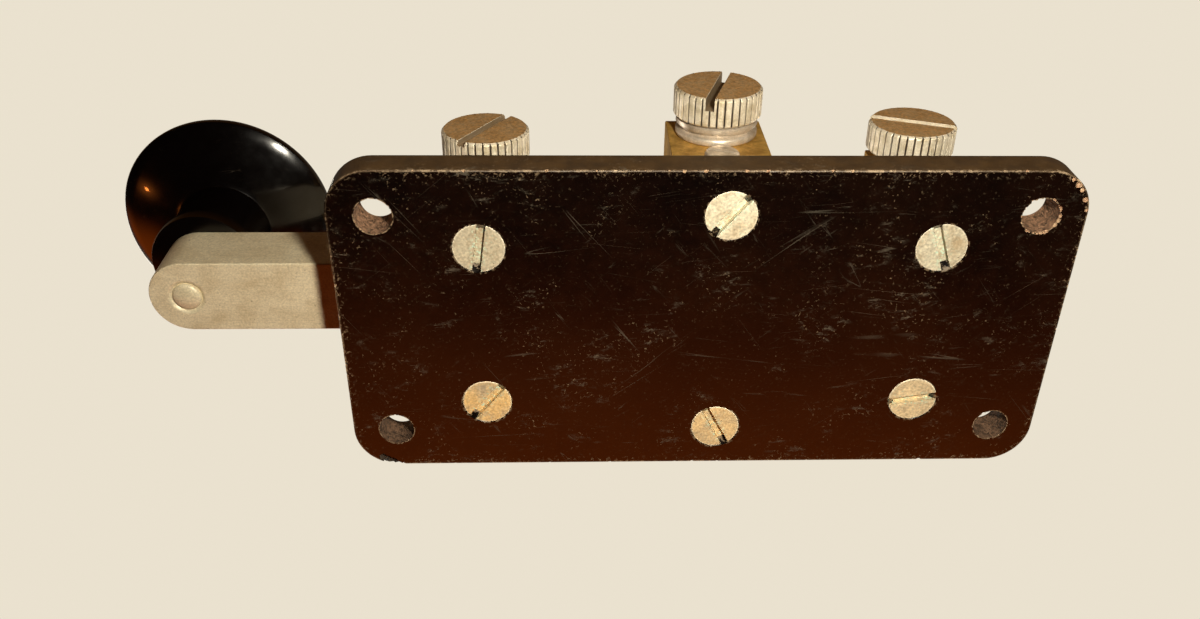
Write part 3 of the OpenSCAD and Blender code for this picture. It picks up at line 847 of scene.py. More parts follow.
@made_once
def polished_plastic(name):
    """Deep black polished plastic with a few fine marks and specks of dust."""
    colours = bpy.context.scene.key_colours
    material, tree, shader = start_material(name)
    place = place_in_mm(tree)
    lines = scratches(tree, place, 0.9, 0.01, 0.2)
    marks = times(tree, most(tree, lines, specks(tree, place, 1.6, 0.16)), 0.06)
    surface = mix(tree, marks, colours.knob, colours.raw_plastic)
    rough = ramp(tree, noise(tree, place, 0.4, 5.0, 0.6), 0.3, 0.7, 0.15, 0.2)
    rough = plus(tree, rough, times(tree, lines, 0.2))
    feed(tree, shader, surface, rough, noise(tree, place, 0.35, 3.0), 0.02, 0.2)
    tree.links.new(times(tree, polished_share(tree, place), 0.6), shader.inputs["Coat Weight"])
    shader.inputs["IOR"].default_value = 1.5
    shader.inputs["Coat Roughness"].default_value = 0.04
    return material


@made_once
def lever_plating(name):
    """Satin nickel plating with fine grain, faint drawn lines and pits."""
    colours = bpy.context.scene.key_colours
    material, tree, shader = start_material(name)
    place = place_in_mm(tree)
    drawn = put(tree, "Mapping", {"Vector": place, "Scale": (0.08, 1.6, 1.6)}).outputs[0]
    streaks = noise(tree, drawn, 2.2, 3.0, 0.6)
    metal = worn_metal(
        tree, place, colours.lever, colours.lever_dull,
        Patch_Scale=0.2, Grain_Scale=3.0, Grime_Share=0.3, Smoothness=0.42, Grain_Contrast=0.9,
    )
    surface = scaled(tree, metal["Color"], ramp(tree, streaks, 0.3, 0.7, 0.95, 1.04))
    height = plus(tree, metal["Height"], times(tree, streaks, 0.6))
    feed(tree, shader, surface, metal["Roughness"], height, 0.02, 0.5)
    shader.inputs["Metallic"].default_value = 0.16
    return material


@made_once
def screw_plating(name):
    """Dull plating on the base screws with a bright rim and green salts along the slot."""
    colours = bpy.context.scene.key_colours
    material, tree, shader = start_material(name)
    place = place_in_mm(tree)
    metal = worn_metal(
        tree, place, mix(tree, stored(tree, "gold"), colours.screw, colours.screw_gold), colours.screw_dull,
        Grain_Scale=2.4, Grime_Share=0.32, Smoothness=0.38, Grain_Contrast=1.5,
    )
    middle = vector_maths(tree, "SUBTRACT", put(tree, "UVMap", uv_map="plan").outputs[0], (0.5, 0.5, 0))
    off_slot = maths(tree, "ABSOLUTE", coordinate(tree, middle, "Y"))
    salts = times(tree, specks(tree, place, 1.9, 0.56), ramp(tree, off_slot, 0.08, 0.2, 1.0, 0.0))
    rim = ramp(tree, length_of(tree, middle), 0.455, 0.485)
    surface = scaled(tree, metal["Color"], stored(tree, "bright"))
    surface = mix(tree, times(tree, rim, 0.5), surface, colours.head)
    surface = mix(tree, times(tree, salts, 0.8), surface, colours.verdigris)
    surface = mix(tree, times(tree, specks(tree, place, 2.6, 0.42), 0.6), surface, colours.verdigris)
    feed(tree, shader, surface, metal["Roughness"], metal["Height"], 0.03, 0.8)
    tree.links.new(minus(tree, 0.2, salts, clamp=True), shader.inputs["Metallic"])
    return material


@made_once
def head_plating(name):
    """Bright ribs over grooves darkened with grime and painted shade, and a face that is worn brown."""
    colours = bpy.context.scene.key_colours
    material, tree, shader = start_material(name)
    place = place_in_mm(tree)
    metal = worn_metal(
        tree, place, colours.head, colours.lever_dull,
        Patch_Scale=0.5, Grain_Scale=5.0, Grime_Share=0.2, Smoothness=0.45,
    )
    face = stored(tree, "face")
    sand = ramp(tree, noise(tree, place, 2.4, 4.0, 0.75), 0.32, 0.68, 0.6, 1.3)
    surface = mix(tree, face, metal["Color"], scaled(tree, colours.head_worn, sand))
    stain = ramp(tree, noise(tree, place, 0.9, 4.0, 0.6), 0.35, 0.7, 0.0, 0.35)
    surface = mix(tree, times(tree, face, stain), surface, colours.lever_dull)
    # Dirt in the front terminal's slot, painted shade in the pivot terminal's slot
    surface = mix(tree, times(tree, stored(tree, "soiled"), 0.85), surface, colours.slot_dirt)
    # Grime and painted shade in the knurled grooves, darker where they are deeper
    surface = mix(tree, ramp(tree, stored(tree, "groove"), 0.1, 0.75), surface, colours.grime)
    feed(tree, shader, surface, metal["Roughness"], metal["Height"], 0.02, 0.6)
    shader.inputs["Metallic"].default_value = 0.35
    return material


@made_once
def plain_metal(name, kind):
    """Brass, nickel, steel or silver with patches, grain and a little dirt."""
    colours = bpy.context.scene.key_colours
    clean, dull, dull_share, smoothness, metallic = {
        "brass": (colours.brass, colours.brass_dull, 0.5, 0.42, 0.55),
        "nickel": (colours.nickel, colours.nickel_dull, 0.4, 0.5, 0.5),
        "steel": (colours.steel, colours.lever_dull, 0.25, 0.55, 0.9),
        "silver": (colours.silver, colours.steel, 0.3, 0.6, 0.9),
    }[kind]
    material, tree, shader = start_material(name)
    place = place_in_mm(tree)
    metal = worn_metal(
        tree, place, clean, dull,
        Dull_Share=dull_share, Grime_Share=0.25, Smoothness=smoothness,
    )
    surface = mix(tree, times(tree, scratches(tree, place, 1.6, 0.02, 0.5), 0.3), metal["Color"], clean)
    feed(tree, shader, surface, metal["Roughness"], metal["Height"], 0.02, 0.6)
    shader.inputs["Metallic"].default_value = metallic
    return material


# Pieces


def marked(spots):
    """Places of chips given as x, y and radius in millimetres."""
    return [((x * MM, y * MM, 0), r * MM) for x, y, r in spots]


def chip_cutters(places, material, rng):
    """Ragged lumps, joined into one cutter, that break the plastic's edges."""
    lumps = []
    for place, radius in places:
        bpy.ops.object.select_all(action="DESELECT")
        bpy.ops.mesh.primitive_ico_sphere_add(subdivisions=2, radius=radius, location=place)
        bpy.ops.object.mode_set(mode="EDIT")
        bpy.ops.transform.vertex_random(offset=radius * 0.3, seed=rng.randrange(1, 9999))
        bpy.ops.object.mode_set(mode="OBJECT")
        lump = settled("lump")
        coat(lump, material)
        lumps.append(lump)
    return join(lumps, "lumps")


def rim_chips(centre, radius, count, lump, rng):
    """Places of chips round a hole."""
    places = []
    for i in range(count):
        angle = math.tau * (i + 2 * rng.random()) / count
        grain = lump * (0.3 + 0.7 * rng.random() ** 2)
        reach = radius - grain * 0.3 * rng.random()
        places.append(((centre[0] + reach * math.cos(angle), centre[1] + reach * math.sin(angle), 0), grain))
    return places


def edge_chips(low, high, rng):
    """Places of small chips along the base's lower edges and at one worn corner."""
    places = []
    inset, on_long_sides, on_short_sides = 9 * MM, 26, 16
    for _ in range(on_long_sides):
        x = rng.uniform(low.x + inset, high.x - inset)
        places.append(((x, rng.choice((low.y, high.y)), 0), rng.uniform(0.12, 0.4) * MM))
    for _ in range(on_short_sides):
        y = rng.uniform(low.y + inset, high.y - inset)
        places.append(((rng.choice((low.x, low.x, high.x)), y, 0), rng.uniform(0.12, 0.42) * MM))
    return places + marked(CORNER_CHIPS)


def base_holes(base, sizes):
    """Mounting holes, screw seats and the spring's recess."""
    low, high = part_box("base_plate")
    depth = high.z - low.z
    for sx in (-1, 1):
        for sy in (-1, 1):
            start = (sx * sizes.hole_x / 2, sy * sizes.hole_y / 2, low.z - depth)
            drill = add_rod("drill", start, sizes.hole_d / 2, 3 * depth, sides=56)
            coat(drill, broken_plastic("dull"))
            cut(base, drill)
    shank_r = sizes.screw_d / 2 + CLEARANCE
    for place in BASE_SCREWS:
        screws = place + "_bracket_screws"
        x, sink = centre_of(screws).x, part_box(screws)[0].z
        head_r = radius_of(screws) + CLEARANCE
        for y in screw_rows(screws, CLEARANCE):
            bore(base, (x, y, -MM), head_r, MM + sink)
            bore(base, (x, y, sink), head_r, head_r - shank_r, end_radius=shank_r)
    recess = (centre_of("return_spring").x, 0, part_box("return_spring")[0].z - CLEARANCE)
    bore(base, recess, radius_of("return_spring") + SPRING_ROOM, depth)


def base_chips(low, high, sizes, rng):
    """Places of the small chips along the base's edges and round its mounting holes."""
    places = edge_chips(low, high, rng)
    for sx, sy, number, lump in HOLE_CHIPS:
        centre = (sx * sizes.hole_x / 2, sy * sizes.hole_y / 2)
        places += rim_chips(centre, sizes.hole_d / 2, number, lump * MM, rng)
    return places


def make_base(sizes):
    """The moulded plate with rounded corners and upper edge, its holes and its chipped lower edge."""
    rng = random.Random(7)
    low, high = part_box("base_plate")
    base = add_block("moulded_base", low, high)
    coat(base, moulded_plastic())
    round_edges(base, is_upright, sizes.base_corner, 14)
    round_edges(base, lies_at(2, high.z), sizes.base_edge, 5)
    round_edges(base, lies_at(2, low.z), sizes.edge_break, 2)
    base_holes(base, sizes)
    for places, kind in ((base_chips(low, high, sizes, rng), "pale"), (marked(CORNER_BITES), "black")):
        cut(base, chip_cutters(places, broken_plastic(kind), rng), overlapping=True)
    smooth(base)
    add_modifier(base, "WEIGHTED_NORMAL", keep_sharp=True)
    stand_in(base, "base_plastic", "base_plate")


def base_screw_model(sizes):
    """One countersunk slotted screw on the origin's axis, with its head below and mapped from above."""
    low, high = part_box("front_bracket_screws")
    head_r, shank_r = radius_of("front_bracket_screws"), sizes.screw_d / 2
    sink, rim = low.z, 0.14 * MM
    profile = [
        (0, sink), (head_r - rim, sink), (head_r, sink + rim), (head_r, sink + rim * 1.2),
        (shank_r, sink + head_r - shank_r), (shank_r, high.z), (0, high.z),
    ]
    model = add_turned("screw_model", profile)
    cut_slot(model, 2 * head_r, sizes.screw_slot, sink - MM, sink + sizes.screw_slot_depth)
    break_edges(model, sizes.fine_break)
    plan_map(model, head_r)
    coat(model, screw_plating())
    return model


def store(piece, name, value):
    """Stores one value at every point of a piece, for its material."""
    layer = piece.data.attributes.new(name, "FLOAT", "POINT")
    layer.data.foreach_set("value", [value] * len(piece.data.vertices))


def make_base_screws(sizes):
    """Three pairs of countersunk slotted screws, all copies of one."""
    model = base_screw_model(sizes)
    for place, looks in BASE_SCREWS.items():
        node = place + "_bracket_screws"
        pair = []
        for y, (turn, bright, gold) in zip(screw_rows(node), looks):
            screw = copied(model, "screw")
            store(screw, "bright", bright)
            store(screw, "gold", gold)
            put_at(screw, (centre_of(node).x, y, 0), turn=math.radians(turn))
            pair.append(screw)
        stand_in(join(pair, place + "_base_screws"), "screw_nickel", node)
    bpy.data.meshes.remove(model.data)


def make_lever(sizes):
    """The bar with a round front end, its recess, bores and worn edges."""
    low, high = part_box("lever")
    width, depth = high.y - low.y, high.z - low.z
    lever = add_block("lever_bar", low, high)
    coat(lever, lever_plating())
    round_edges(lever, lambda edge: is_upright(edge) and edge.verts[0].co.x < 0, width / 2, 28)
    axle_low, axle_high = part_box("lever_axle")
    axle, axle_r = centre_of("lever_axle"), (axle_high.z - axle_low.z) / 2 + CLEARANCE
    bore(lever, (axle.x, low.y - MM, axle.z), axle_r, width + 2 * MM, "Y")
    spring_x, spring_top = centre_of("return_spring").x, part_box("return_spring")[1].z
    spring_r = radius_of("return_spring") + SPRING_ROOM
    bore(lever, (spring_x, 0, low.z - MM), spring_r, spring_top - low.z + 1.2 * MM)
    for x in (spring_x, centre_of("gap_screw").x):
        bore(lever, (x, 0, low.z - 2 * MM), sizes.adjuster_d / 2 + CLEARANCE, depth + 4 * MM)
    stud_r, recess_r = radius_of("knob_stud"), sizes.stud_recess / 2
    recess = (centre_of("knob_stud").x, 0, low.z)
    bore(lever, recess, recess_r, recess_r - stud_r, end_radius=stud_r, sides=72)
    break_edges(lever, sizes.edge_break * 1.3, angle=40)
    stand_in(lever, "lever_nickel", "lever")


def knob_underside(lip_end, lip, neck):
    """The knob's hollow flare as radius and height, from beside the neck out to the lip's end."""
    shallow, steep, lip_r = math.radians(14), math.radians(21.5), 9.5
    bent, straight, gap = 10, 12, 0.4
    points = [lip_end]
    for i in range(bent):
        slope = lip + (steep - lip) * (i + 0.5) / bent
        step = lip_r * (lip - steep) / bent
        points.append((points[-1][0] - step * math.cos(slope), points[-1][1] - step * math.sin(slope)))
    run = (points[-1][0] - neck - gap) / straight
    for i in range(straight):
        slope = steep + (shallow - steep) * (i + 0.5) / straight
        points.append((points[-1][0] - run, points[-1][1] - run * math.tan(slope)))
    points.reverse()
    return points


def knob_profile(rim, height):
    """The knob's outline as radius and height in millimetres, from its foot to the top of its crown."""
    foot, foot_h, foot_edge, neck = 9.1, 2.8, 0.2, 8.3
    rim_h, rim_r, rim_rise, crown_r = 18.25, 0.4, 3.8, 14.7
    lip, edge_steps, crown_steps = math.radians(35), 8, 24
    lip_end = (rim - rim_r * (1 - math.sin(lip)), rim_h - rim_r * math.cos(lip))
    under = knob_underside(lip_end, lip, neck)
    turns = [(math.pi / 2 - lip) * (1 - i / edge_steps) for i in range(1, edge_steps)]
    edge = [(rim - rim_r * (1 - math.cos(a)), rim_h - rim_r * math.sin(a)) for a in turns]
    crown = [(rim, rim_h), (rim, rim_h + rim_rise), (crown_r, height), (0, height)]
    profile = [(0, 0), (foot - foot_edge, 0), (foot - 0.06, 0.06), (foot, foot_edge)]
    profile += [(foot, foot_h - foot_edge), (foot - foot_edge, foot_h), (neck, foot_h)]
    profile += [(neck, under[0][1] - 0.5), (neck + 0.1, under[0][1] - 0.15)]
    return profile + under + edge + [(rim, rim_h)] + curve_points(crown, crown_steps)


def make_knob():
    """The round knob with its foot, hollow flare, rim and crown."""
    low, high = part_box("knob")
    profile = [(r * MM, h * MM) for r, h in knob_profile(radius_of("knob") / MM, (high.z - low.z) / MM)]
    start = (centre_of("knob").x, 0, low.z)
    turn_piece("round_knob", "knob", "knob_plastic", polished_plastic(), profile, start, steps=112, angle=40)


def make_stud():
    """The stud that holds the knob, with a domed end."""
    low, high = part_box("knob_stud")
    radius, top, dome, steps = radius_of("knob_stud"), high.z - low.z, 0.75 * MM, 6
    turns = [i * math.pi / 2 / steps for i in range(steps + 1)]
    profile = [(radius * math.sin(a), dome * (1 - math.cos(a))) for a in turns] + [(radius, top), (0, top)]
    start, plating = (centre_of("knob").x, 0, low.z), lever_plating()
    turn_piece("knob_stud_end", "knob_stud", "lever_nickel", plating, profile, start, steps=56, angle=40)


def knurled_head(name, radius, length, teeth, depth):
    """A round grip along Z with straight teeth whose ends are beveled."""
    per_tooth, bevel, over = 6, 0.45 * MM, 0.3 * MM
    sides = teeth * per_tooth
    bpy.ops.object.select_all(action="DESELECT")
    bpy.ops.mesh.primitive_cylinder_add(
        vertices=sides, radius=radius, depth=length + 2 * MM, location=(0, 0, length / 2)
    )
    head = settled(name)

    def in_groove(vertex):
        return round(math.atan2(vertex.co.y, vertex.co.x) * sides / math.tau) % per_tooth == 0

    bpy.ops.object.mode_set(mode="EDIT")
    select_parts(head, "VERT", in_groove)
    share = 1 - depth / radius
    bpy.ops.transform.resize(value=(share, share, 1), center_override=(0, 0, 0))
    bpy.ops.object.mode_set(mode="OBJECT")
    outer = radius + over
    line = [
        (0, 0), (radius - bevel, 0), (outer, bevel + over),
        (outer, length - bevel - over), (radius - bevel, length), (0, length),
    ]
    combine(head, add_turned("envelope", line, steps=90), "INTERSECT")
    only(head)
    bpy.ops.object.mode_set(mode="EDIT")
    bpy.ops.mesh.select_all(action="SELECT")
    bpy.ops.mesh.remove_doubles(threshold=NEARLY_SAME_PLACE)
    bpy.ops.mesh.dissolve_limited(angle_limit=math.radians(0.5))
    bpy.ops.object.mode_set(mode="OBJECT")
    return head


def mark_head(head, radius, length, depth, slot=0.0, dirt=0.0):
    """Stores where the grooves, the worn end face and the slot are, for the material's wear, dirt and
    painted shade.
    """
    for name, domain in (("groove", "POINT"), ("face", "CORNER"), ("soiled", "CORNER")):
        head.data.attributes.new(name, "FLOAT", domain)
    groove, face, soiled = (head.data.attributes[name] for name in ("groove", "face", "soiled"))
    margin, hair = 0.05 * MM, 0.01 * MM
    # Groove depth at each point, for the grime and painted shade in the grooves
    for i, vertex in enumerate(head.data.vertices):
        reach = vertex.co.xy.length
        on_teeth = margin < vertex.co.z < length - margin and reach > radius - 1.2 * depth
        groove.data[i].value = min(1, max(0, (radius - reach) / depth)) if on_teeth else 0
    for polygon in head.data.polygons:
        middle = polygon.center
        below_face = middle.z < length - hair and middle.xy.length < radius * 0.9
        in_slot = below_face and abs(middle.y) < slot / 2 + hair
        on_face = polygon.normal.z > 0.9 and not in_slot
        for loop in polygon.loop_indices:
            face.data[loop].value = 1.0 if on_face else 0.0
            soiled.data[loop].value = dirt if in_slot else 0.0


def finish_head(head, radius, length, sizes, slot=0.0, dirt=0.0):
    """Breaks a knurled head's edges, marks its worn face and the dirt and painted shade of its grooves and
    slot, and plates it.
    """
    break_edges(head, sizes.fine_break * 0.6, segments=1)
    mark_head(head, radius, length, sizes.knurl_depth, slot, dirt)
    coat(head, head_plating())


def screw_thread(radius, length, pitch):
    """A thread that runs down from the origin, thinner at its end, with a root that enters the head."""
    lead, root = 0.4 * MM, 0.3 * MM
    line = thread_line(radius, lead - length, 0, pitch)
    line[-1] = (line[-1][0], root)
    line = [(0, -length), (line[0][0] - lead / 2, -length)] + line + [(0, root)]
    thread = add_turned("thread", line, steps=40)
    coat(thread, plain_metal("nickel"))
    smooth(thread, 25)
    return thread


def slotted_screw(name, head_shape, thread_shape, slot_shape, sizes, dirt=0.0):
    """A knurled, slotted head over a thread, pointing up."""
    head_r, head_l, teeth = head_shape
    slot, slot_depth = slot_shape
    head = knurled_head(name, head_r, head_l, teeth, sizes.knurl_depth)
    cut_slot(head, 2 * head_r, slot, head_l - slot_depth, head_l + MM)
    finish_head(head, head_r, head_l, sizes, slot, dirt)
    return join([head, screw_thread(*thread_shape, sizes.pitch)], name)


def make_terminal_screws(sizes):
    """Three screws with knurled, slotted heads that point to the near side."""
    head_r, head_l = radius_of("front_terminal_screw") + sizes.crest, sizes.terminal_head_l
    # dirt is how much dark fill the slot gets: real dirt at the front, painted shade at the pivot
    for place, (turn, dirt, depth) in TERMINAL_SLOTS.items():
        node = place + "_terminal_screw"
        low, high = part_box(node)
        thread_shape = (sizes.terminal_d / 2, high.y - low.y - head_l)
        screw = slotted_screw(
            place + "_terminal_head", (head_r, head_l, sizes.terminal_teeth), thread_shape,
            (sizes.terminal_slot, depth * MM), sizes, dirt,
        )
        put_at(screw, (centre_of(node).x, low.y + head_l, centre_of(node).z), "-Y", math.radians(turn))
        stand_in(screw, "head_nickel", node)


def terminal_ring(name, node, profile, angle=32):
    """A nickel ring on a terminal's thread that points to the near side."""
    start = (centre_of(node).x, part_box(node)[1].y, centre_of(node).z)
    turn_piece(name, node, "head_nickel", plain_metal("nickel"), profile, start, "-Y", angle=angle)


def make_washers(sizes):
    """The plain washers of the front and rear terminals."""
    inner, edge = sizes.terminal_d / 2 + CLEARANCE, 0.15 * MM
    for place in ("front", "rear"):
        node = place + "_terminal_washer"
        low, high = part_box(node)
        outer, thick = radius_of(node), high.y - low.y
        terminal_ring(place + "_washer", node, [
            (inner, 0), (outer - edge, 0), (outer, edge), (outer, thick - edge),
            (outer - edge, thick), (inner, thick), (inner, 0),
        ])


def make_collar(sizes):
    """The pivot terminal's collar, with a groove round its middle."""
    node = "pivot_terminal_collar"
    low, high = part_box(node)
    inner, outer, thick = sizes.terminal_d / 2 + CLEARANCE, radius_of(node), high.y - low.y
    deep, edge = 0.7 * MM, 0.3 * MM
    terminal_ring("grooved_collar", node, [
        (inner, 0), (outer - edge, 0), (outer - 0.1 * MM, 0.1 * MM), (outer, edge), (outer, 0.3 * thick),
        (outer - 0.2 * MM, 0.38 * thick), (outer - deep, 0.44 * thick), (outer - deep, 0.54 * thick),
        (outer - 0.25 * MM, 0.6 * thick), (outer, 0.68 * thick), (outer - 0.05 * MM, thick - edge),
        (outer - 0.5 * MM, thick - 0.05 * MM), (outer - 0.8 * MM, thick), (inner, thick), (inner, 0),
    ], angle=50)


def bracket_body(name, node, posts, sizes):
    """A foot with one or more posts drawn up out of it; posts are (low y, high y, top)."""
    low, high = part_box(node)
    piece = add_block(name, low, (high.x, high.y, low.z + sizes.foot_t))
    bpy.ops.object.mode_set(mode="EDIT")
    for start, end, _ in posts:
        for y in (start, end):
            bpy.ops.mesh.select_all(action="SELECT")
            if low.y + NEARLY_SAME_PLACE < y < high.y - NEARLY_SAME_PLACE:
                bpy.ops.mesh.bisect(plane_co=(0, y, 0), plane_no=(0, 1, 0))
    for start, end, top in posts:
        def on_post(face):
            middle = face.calc_center_median()
            return face.normal.z > 0.9 and start < middle.y < end
        select_parts(piece, "FACE", on_post)
        rise = top - low.z - sizes.foot_t
        bpy.ops.mesh.extrude_region_move(TRANSFORM_OT_translate={"value": (0, 0, rise)})
    bpy.ops.object.mode_set(mode="OBJECT")
    coat(piece, plain_metal("brass"))
    return piece


def make_contact_bracket(place, sizes):
    """The front or rear bracket, which carries a terminal and an anvil."""
    node = place + "_bracket"
    low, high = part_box(node)
    post_t = sizes.contact_post_t
    bracket = bracket_body(place + "_contact_bracket", node, [(low.y, low.y + post_t, high.z)], sizes)
    x, z = centre_of(node).x, centre_of("front_terminal_screw").z
    bore(bracket, (x, low.y - MM, z), sizes.terminal_d / 2 + CLEARANCE, post_t + 2 * MM, "Y")
    tapped = (x, screw_rows(place + "_bracket_screws")[1], low.z - MM)
    bore(bracket, tapped, sizes.screw_d / 2 + CLEARANCE, sizes.foot_t + 2 * MM)
    break_edges(bracket, sizes.edge_break)
    stand_in(bracket, "bracket_brass", node)


def make_pivot_bracket(sizes):
    """The bracket whose two posts hold the pivot screws, with the pivot terminal on the near one."""
    low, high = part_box("pivot_bracket")
    post_t, head_sink = sizes.pivot_post_t, 1.8 * MM
    posts = [(low.y, low.y + post_t, high.z), (high.y - post_t, high.y, low.z + sizes.far_post_h)]
    bracket = bracket_body("trunnion_bracket", "pivot_bracket", posts, sizes)
    x, z = centre_of("pivot_bracket").x, centre_of("near_pivot_screw").z
    terminal = (x, low.y - MM, centre_of("pivot_terminal_screw").z)
    bore(bracket, terminal, sizes.terminal_d / 2 + CLEARANCE, post_t + 2 * MM, "Y")
    for start, axis in ((low.y - MM, "Y"), (high.y + MM, "-Y")):
        bore(bracket, (x, start, z), radius_of("near_pivot_screw") + CLEARANCE, head_sink, axis)
        bore(bracket, (x, start, z), PIVOT_SCREW_R + CLEARANCE, post_t + 2 * MM, axis)
    break_edges(bracket, sizes.edge_break)
    stand_in(bracket, "bracket_brass", "pivot_bracket")


def pivot_screw_profile(head_r, length, pitch):
    """A pivot screw as radius and height: a low round head, a thread and a cupped end."""
    head_t, thread_start, cup_r, cup_depth = 1.55 * MM, 1.7 * MM, 1.2 * MM, 1.1 * MM
    lead = 0.3 * MM
    profile = [(0, 0), (head_r * 0.6, 0.03 * MM), (head_r - 0.25 * MM, 0.16 * MM), (head_r, 0.45 * MM)]
    profile += [(head_r, head_t), (PIVOT_SCREW_R, head_t)]
    profile += thread_line(PIVOT_SCREW_R, thread_start, length - lead, pitch)
    return profile + [(PIVOT_SCREW_R - 0.5 * MM, length), (cup_r, length), (0, length - cup_depth)]


def make_pivot_screws(sizes):
    """The near and far pivot screws, copies of one."""
    low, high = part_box("near_pivot_screw")
    profile = pivot_screw_profile(radius_of("near_pivot_screw"), high.y - low.y, sizes.pitch)
    model = add_turned("pivot_screw_model", profile, steps=56)
    slot_reach, slot_width, slot_depth = 4 * MM, 0.9 * MM, 0.6 * MM
    cut_slot(model, slot_reach, slot_width, -MM, slot_depth)
    smooth(model, 30)
    coat(model, plain_metal("nickel"))
    for node, axis in (("near_pivot_screw", "Y"), ("far_pivot_screw", "-Y")):
        screw = copied(model, node + "_head")
        low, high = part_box(node)
        start = (centre_of(node).x, low.y if axis == "Y" else high.y, centre_of(node).z)
        put_at(screw, start, axis, math.radians(20))
        stand_in(screw, "screw_nickel", node)
    bpy.data.meshes.remove(model.data)


def make_axle():
    """The lever's axle, pointed at both ends."""
    low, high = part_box("lever_axle")
    radius, length, point = (high.z - low.z) / 2, high.y - low.y, 1.6 * MM
    profile = [(0, 0), (radius, point), (radius, length - point), (0, length)]
    start = (centre_of("lever_axle").x, low.y, centre_of("lever_axle").z)
    turn_piece("pointed_axle", "lever_axle", "spring_steel", plain_metal("steel"), profile, start, "Y", 48)


def make_contacts():
    """The two fixed anvils and the lever's contact, with slightly domed faces."""
    stem = 1.2 * MM
    for node, (faces_up, head_mm) in CONTACTS.items():
        low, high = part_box(node)
        radius, length, head = radius_of(node), high.z - low.z, head_mm * MM
        profile = [(0, 0), (radius * 0.5, 0.02 * MM), (radius - 0.12 * MM, 0.08 * MM), (radius, 0.2 * MM)]
        profile += [(radius, head), (stem, head), (stem, length), (0, length)]
        if faces_up:
            profile = [(r, length - h) for r, h in reversed(profile)]
        start = (centre_of(node).x, 0, low.z)
        silver = plain_metal("silver")
        turn_piece(node + "_button", node, "contact_silver", silver, profile, start, steps=48, angle=40)


def make_spring(sizes):
    """The return spring: a ring of wire screwed up round its axis, its ends closed."""
    low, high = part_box("return_spring")
    wire_r = sizes.wire_d / 2
    coil_r = radius_of("return_spring") - wire_r
    bpy.ops.object.select_all(action="DESELECT")
    bpy.ops.mesh.primitive_circle_add(
        vertices=12, radius=wire_r, location=(coil_r, 0, wire_r), rotation=(math.pi / 2, 0, 0)
    )
    spring = settled("wound_spring")
    rise = (high.z - low.z - sizes.wire_d) / sizes.spring_turns
    add_modifier(
        spring, "SCREW", angle=math.tau, screw_offset=rise, iterations=sizes.spring_turns,
        steps=28, render_steps=28, axis="Z", use_merge_vertices=False,
    )
    only(spring)
    bpy.ops.object.mode_set(mode="EDIT")
    select_parts(spring, "EDGE", lambda edge: edge.is_boundary)
    bpy.ops.mesh.edge_face_add()
    bpy.ops.mesh.select_all(action="SELECT")
    bpy.ops.mesh.normals_make_consistent(inside=False)
    bpy.ops.object.mode_set(mode="OBJECT")
    put_at(spring, (centre_of("return_spring").x, 0, low.z))
    coat(spring, plain_metal("steel"))
    smooth(spring, 60)
    stand_in(spring, "spring_steel", "return_spring")
    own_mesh(spring)


def make_adjusting_screw(place, sizes):
    """The spring's or the gap's adjusting screw."""
    node = place + "_screw"
    low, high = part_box(node)
    head_l, slot_depth = sizes.adjuster_head_l, 1.2 * MM
    screw = slotted_screw(
        place + "_adjuster", (radius_of(node), head_l, sizes.adjuster_teeth),
        (sizes.adjuster_d / 2, high.z - low.z - head_l), (sizes.adjuster_slot, slot_depth), sizes,
    )
    put_at(screw, (centre_of(node).x, 0, high.z - head_l))
    stand_in(screw, "head_nickel", node)


def make_lock_nut(place, sizes):
    """The knurled lock nut of the spring's or the gap's adjusting screw."""
    node = place + "_lock_nut"
    low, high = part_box(node)
    radius, thick = radius_of(node), high.z - low.z
    nut = knurled_head(place + "_nut", radius, thick, sizes.adjuster_teeth, sizes.knurl_depth)
    bore(nut, (0, 0, -MM), sizes.adjuster_d / 2 + CLEARANCE, thick + 2 * MM)
    finish_head(nut, radius, thick, sizes)
    put_at(nut, (centre_of(node).x, 0, low.z))
    stand_in(nut, "head_nickel", node)


# Stage


def make_floor(colours):
    """A pale floor, seen only from above, that fades into the backdrop and lets light from below through."""
    bpy.ops.object.select_all(action="DESELECT")
    bpy.ops.mesh.primitive_plane_add(size=4, location=(0, 0, -0.3 * MM))
    floor = settled("floor")
    material = bpy.data.materials.new("pale_floor")
    material.use_nodes = True
    tree = material.node_tree
    tree.nodes.clear()
    path = put(tree, "LightPath")
    behind = put(tree, "NewGeometry").outputs["Backfacing"]
    unseen = most(tree, path.outputs["Is Shadow Ray"], behind)
    matt = put(tree, "BsdfDiffuse", {"Color": (*colours.floor, 1)})
    glow = put(tree, "Emission", {"Color": (*colours.backdrop, 1)})
    away = length_of(tree, put(tree, "TexCoord").outputs["Object"])
    pale = put(tree, "MixShader", {0: ramp(tree, away, 0.2, 0.75), 1: matt.outputs[0], 2: glow.outputs[0]})
    clear = put(tree, "BsdfTransparent")
    both = put(tree, "MixShader", {0: unseen, 1: pale.outputs[0], 2: clear.outputs[0]})
    put(tree, "OutputMaterial", {"Surface": both.outputs[0]})
    coat(floor, material)
    floor.visible_glossy = False
    floor.visible_diffuse = False


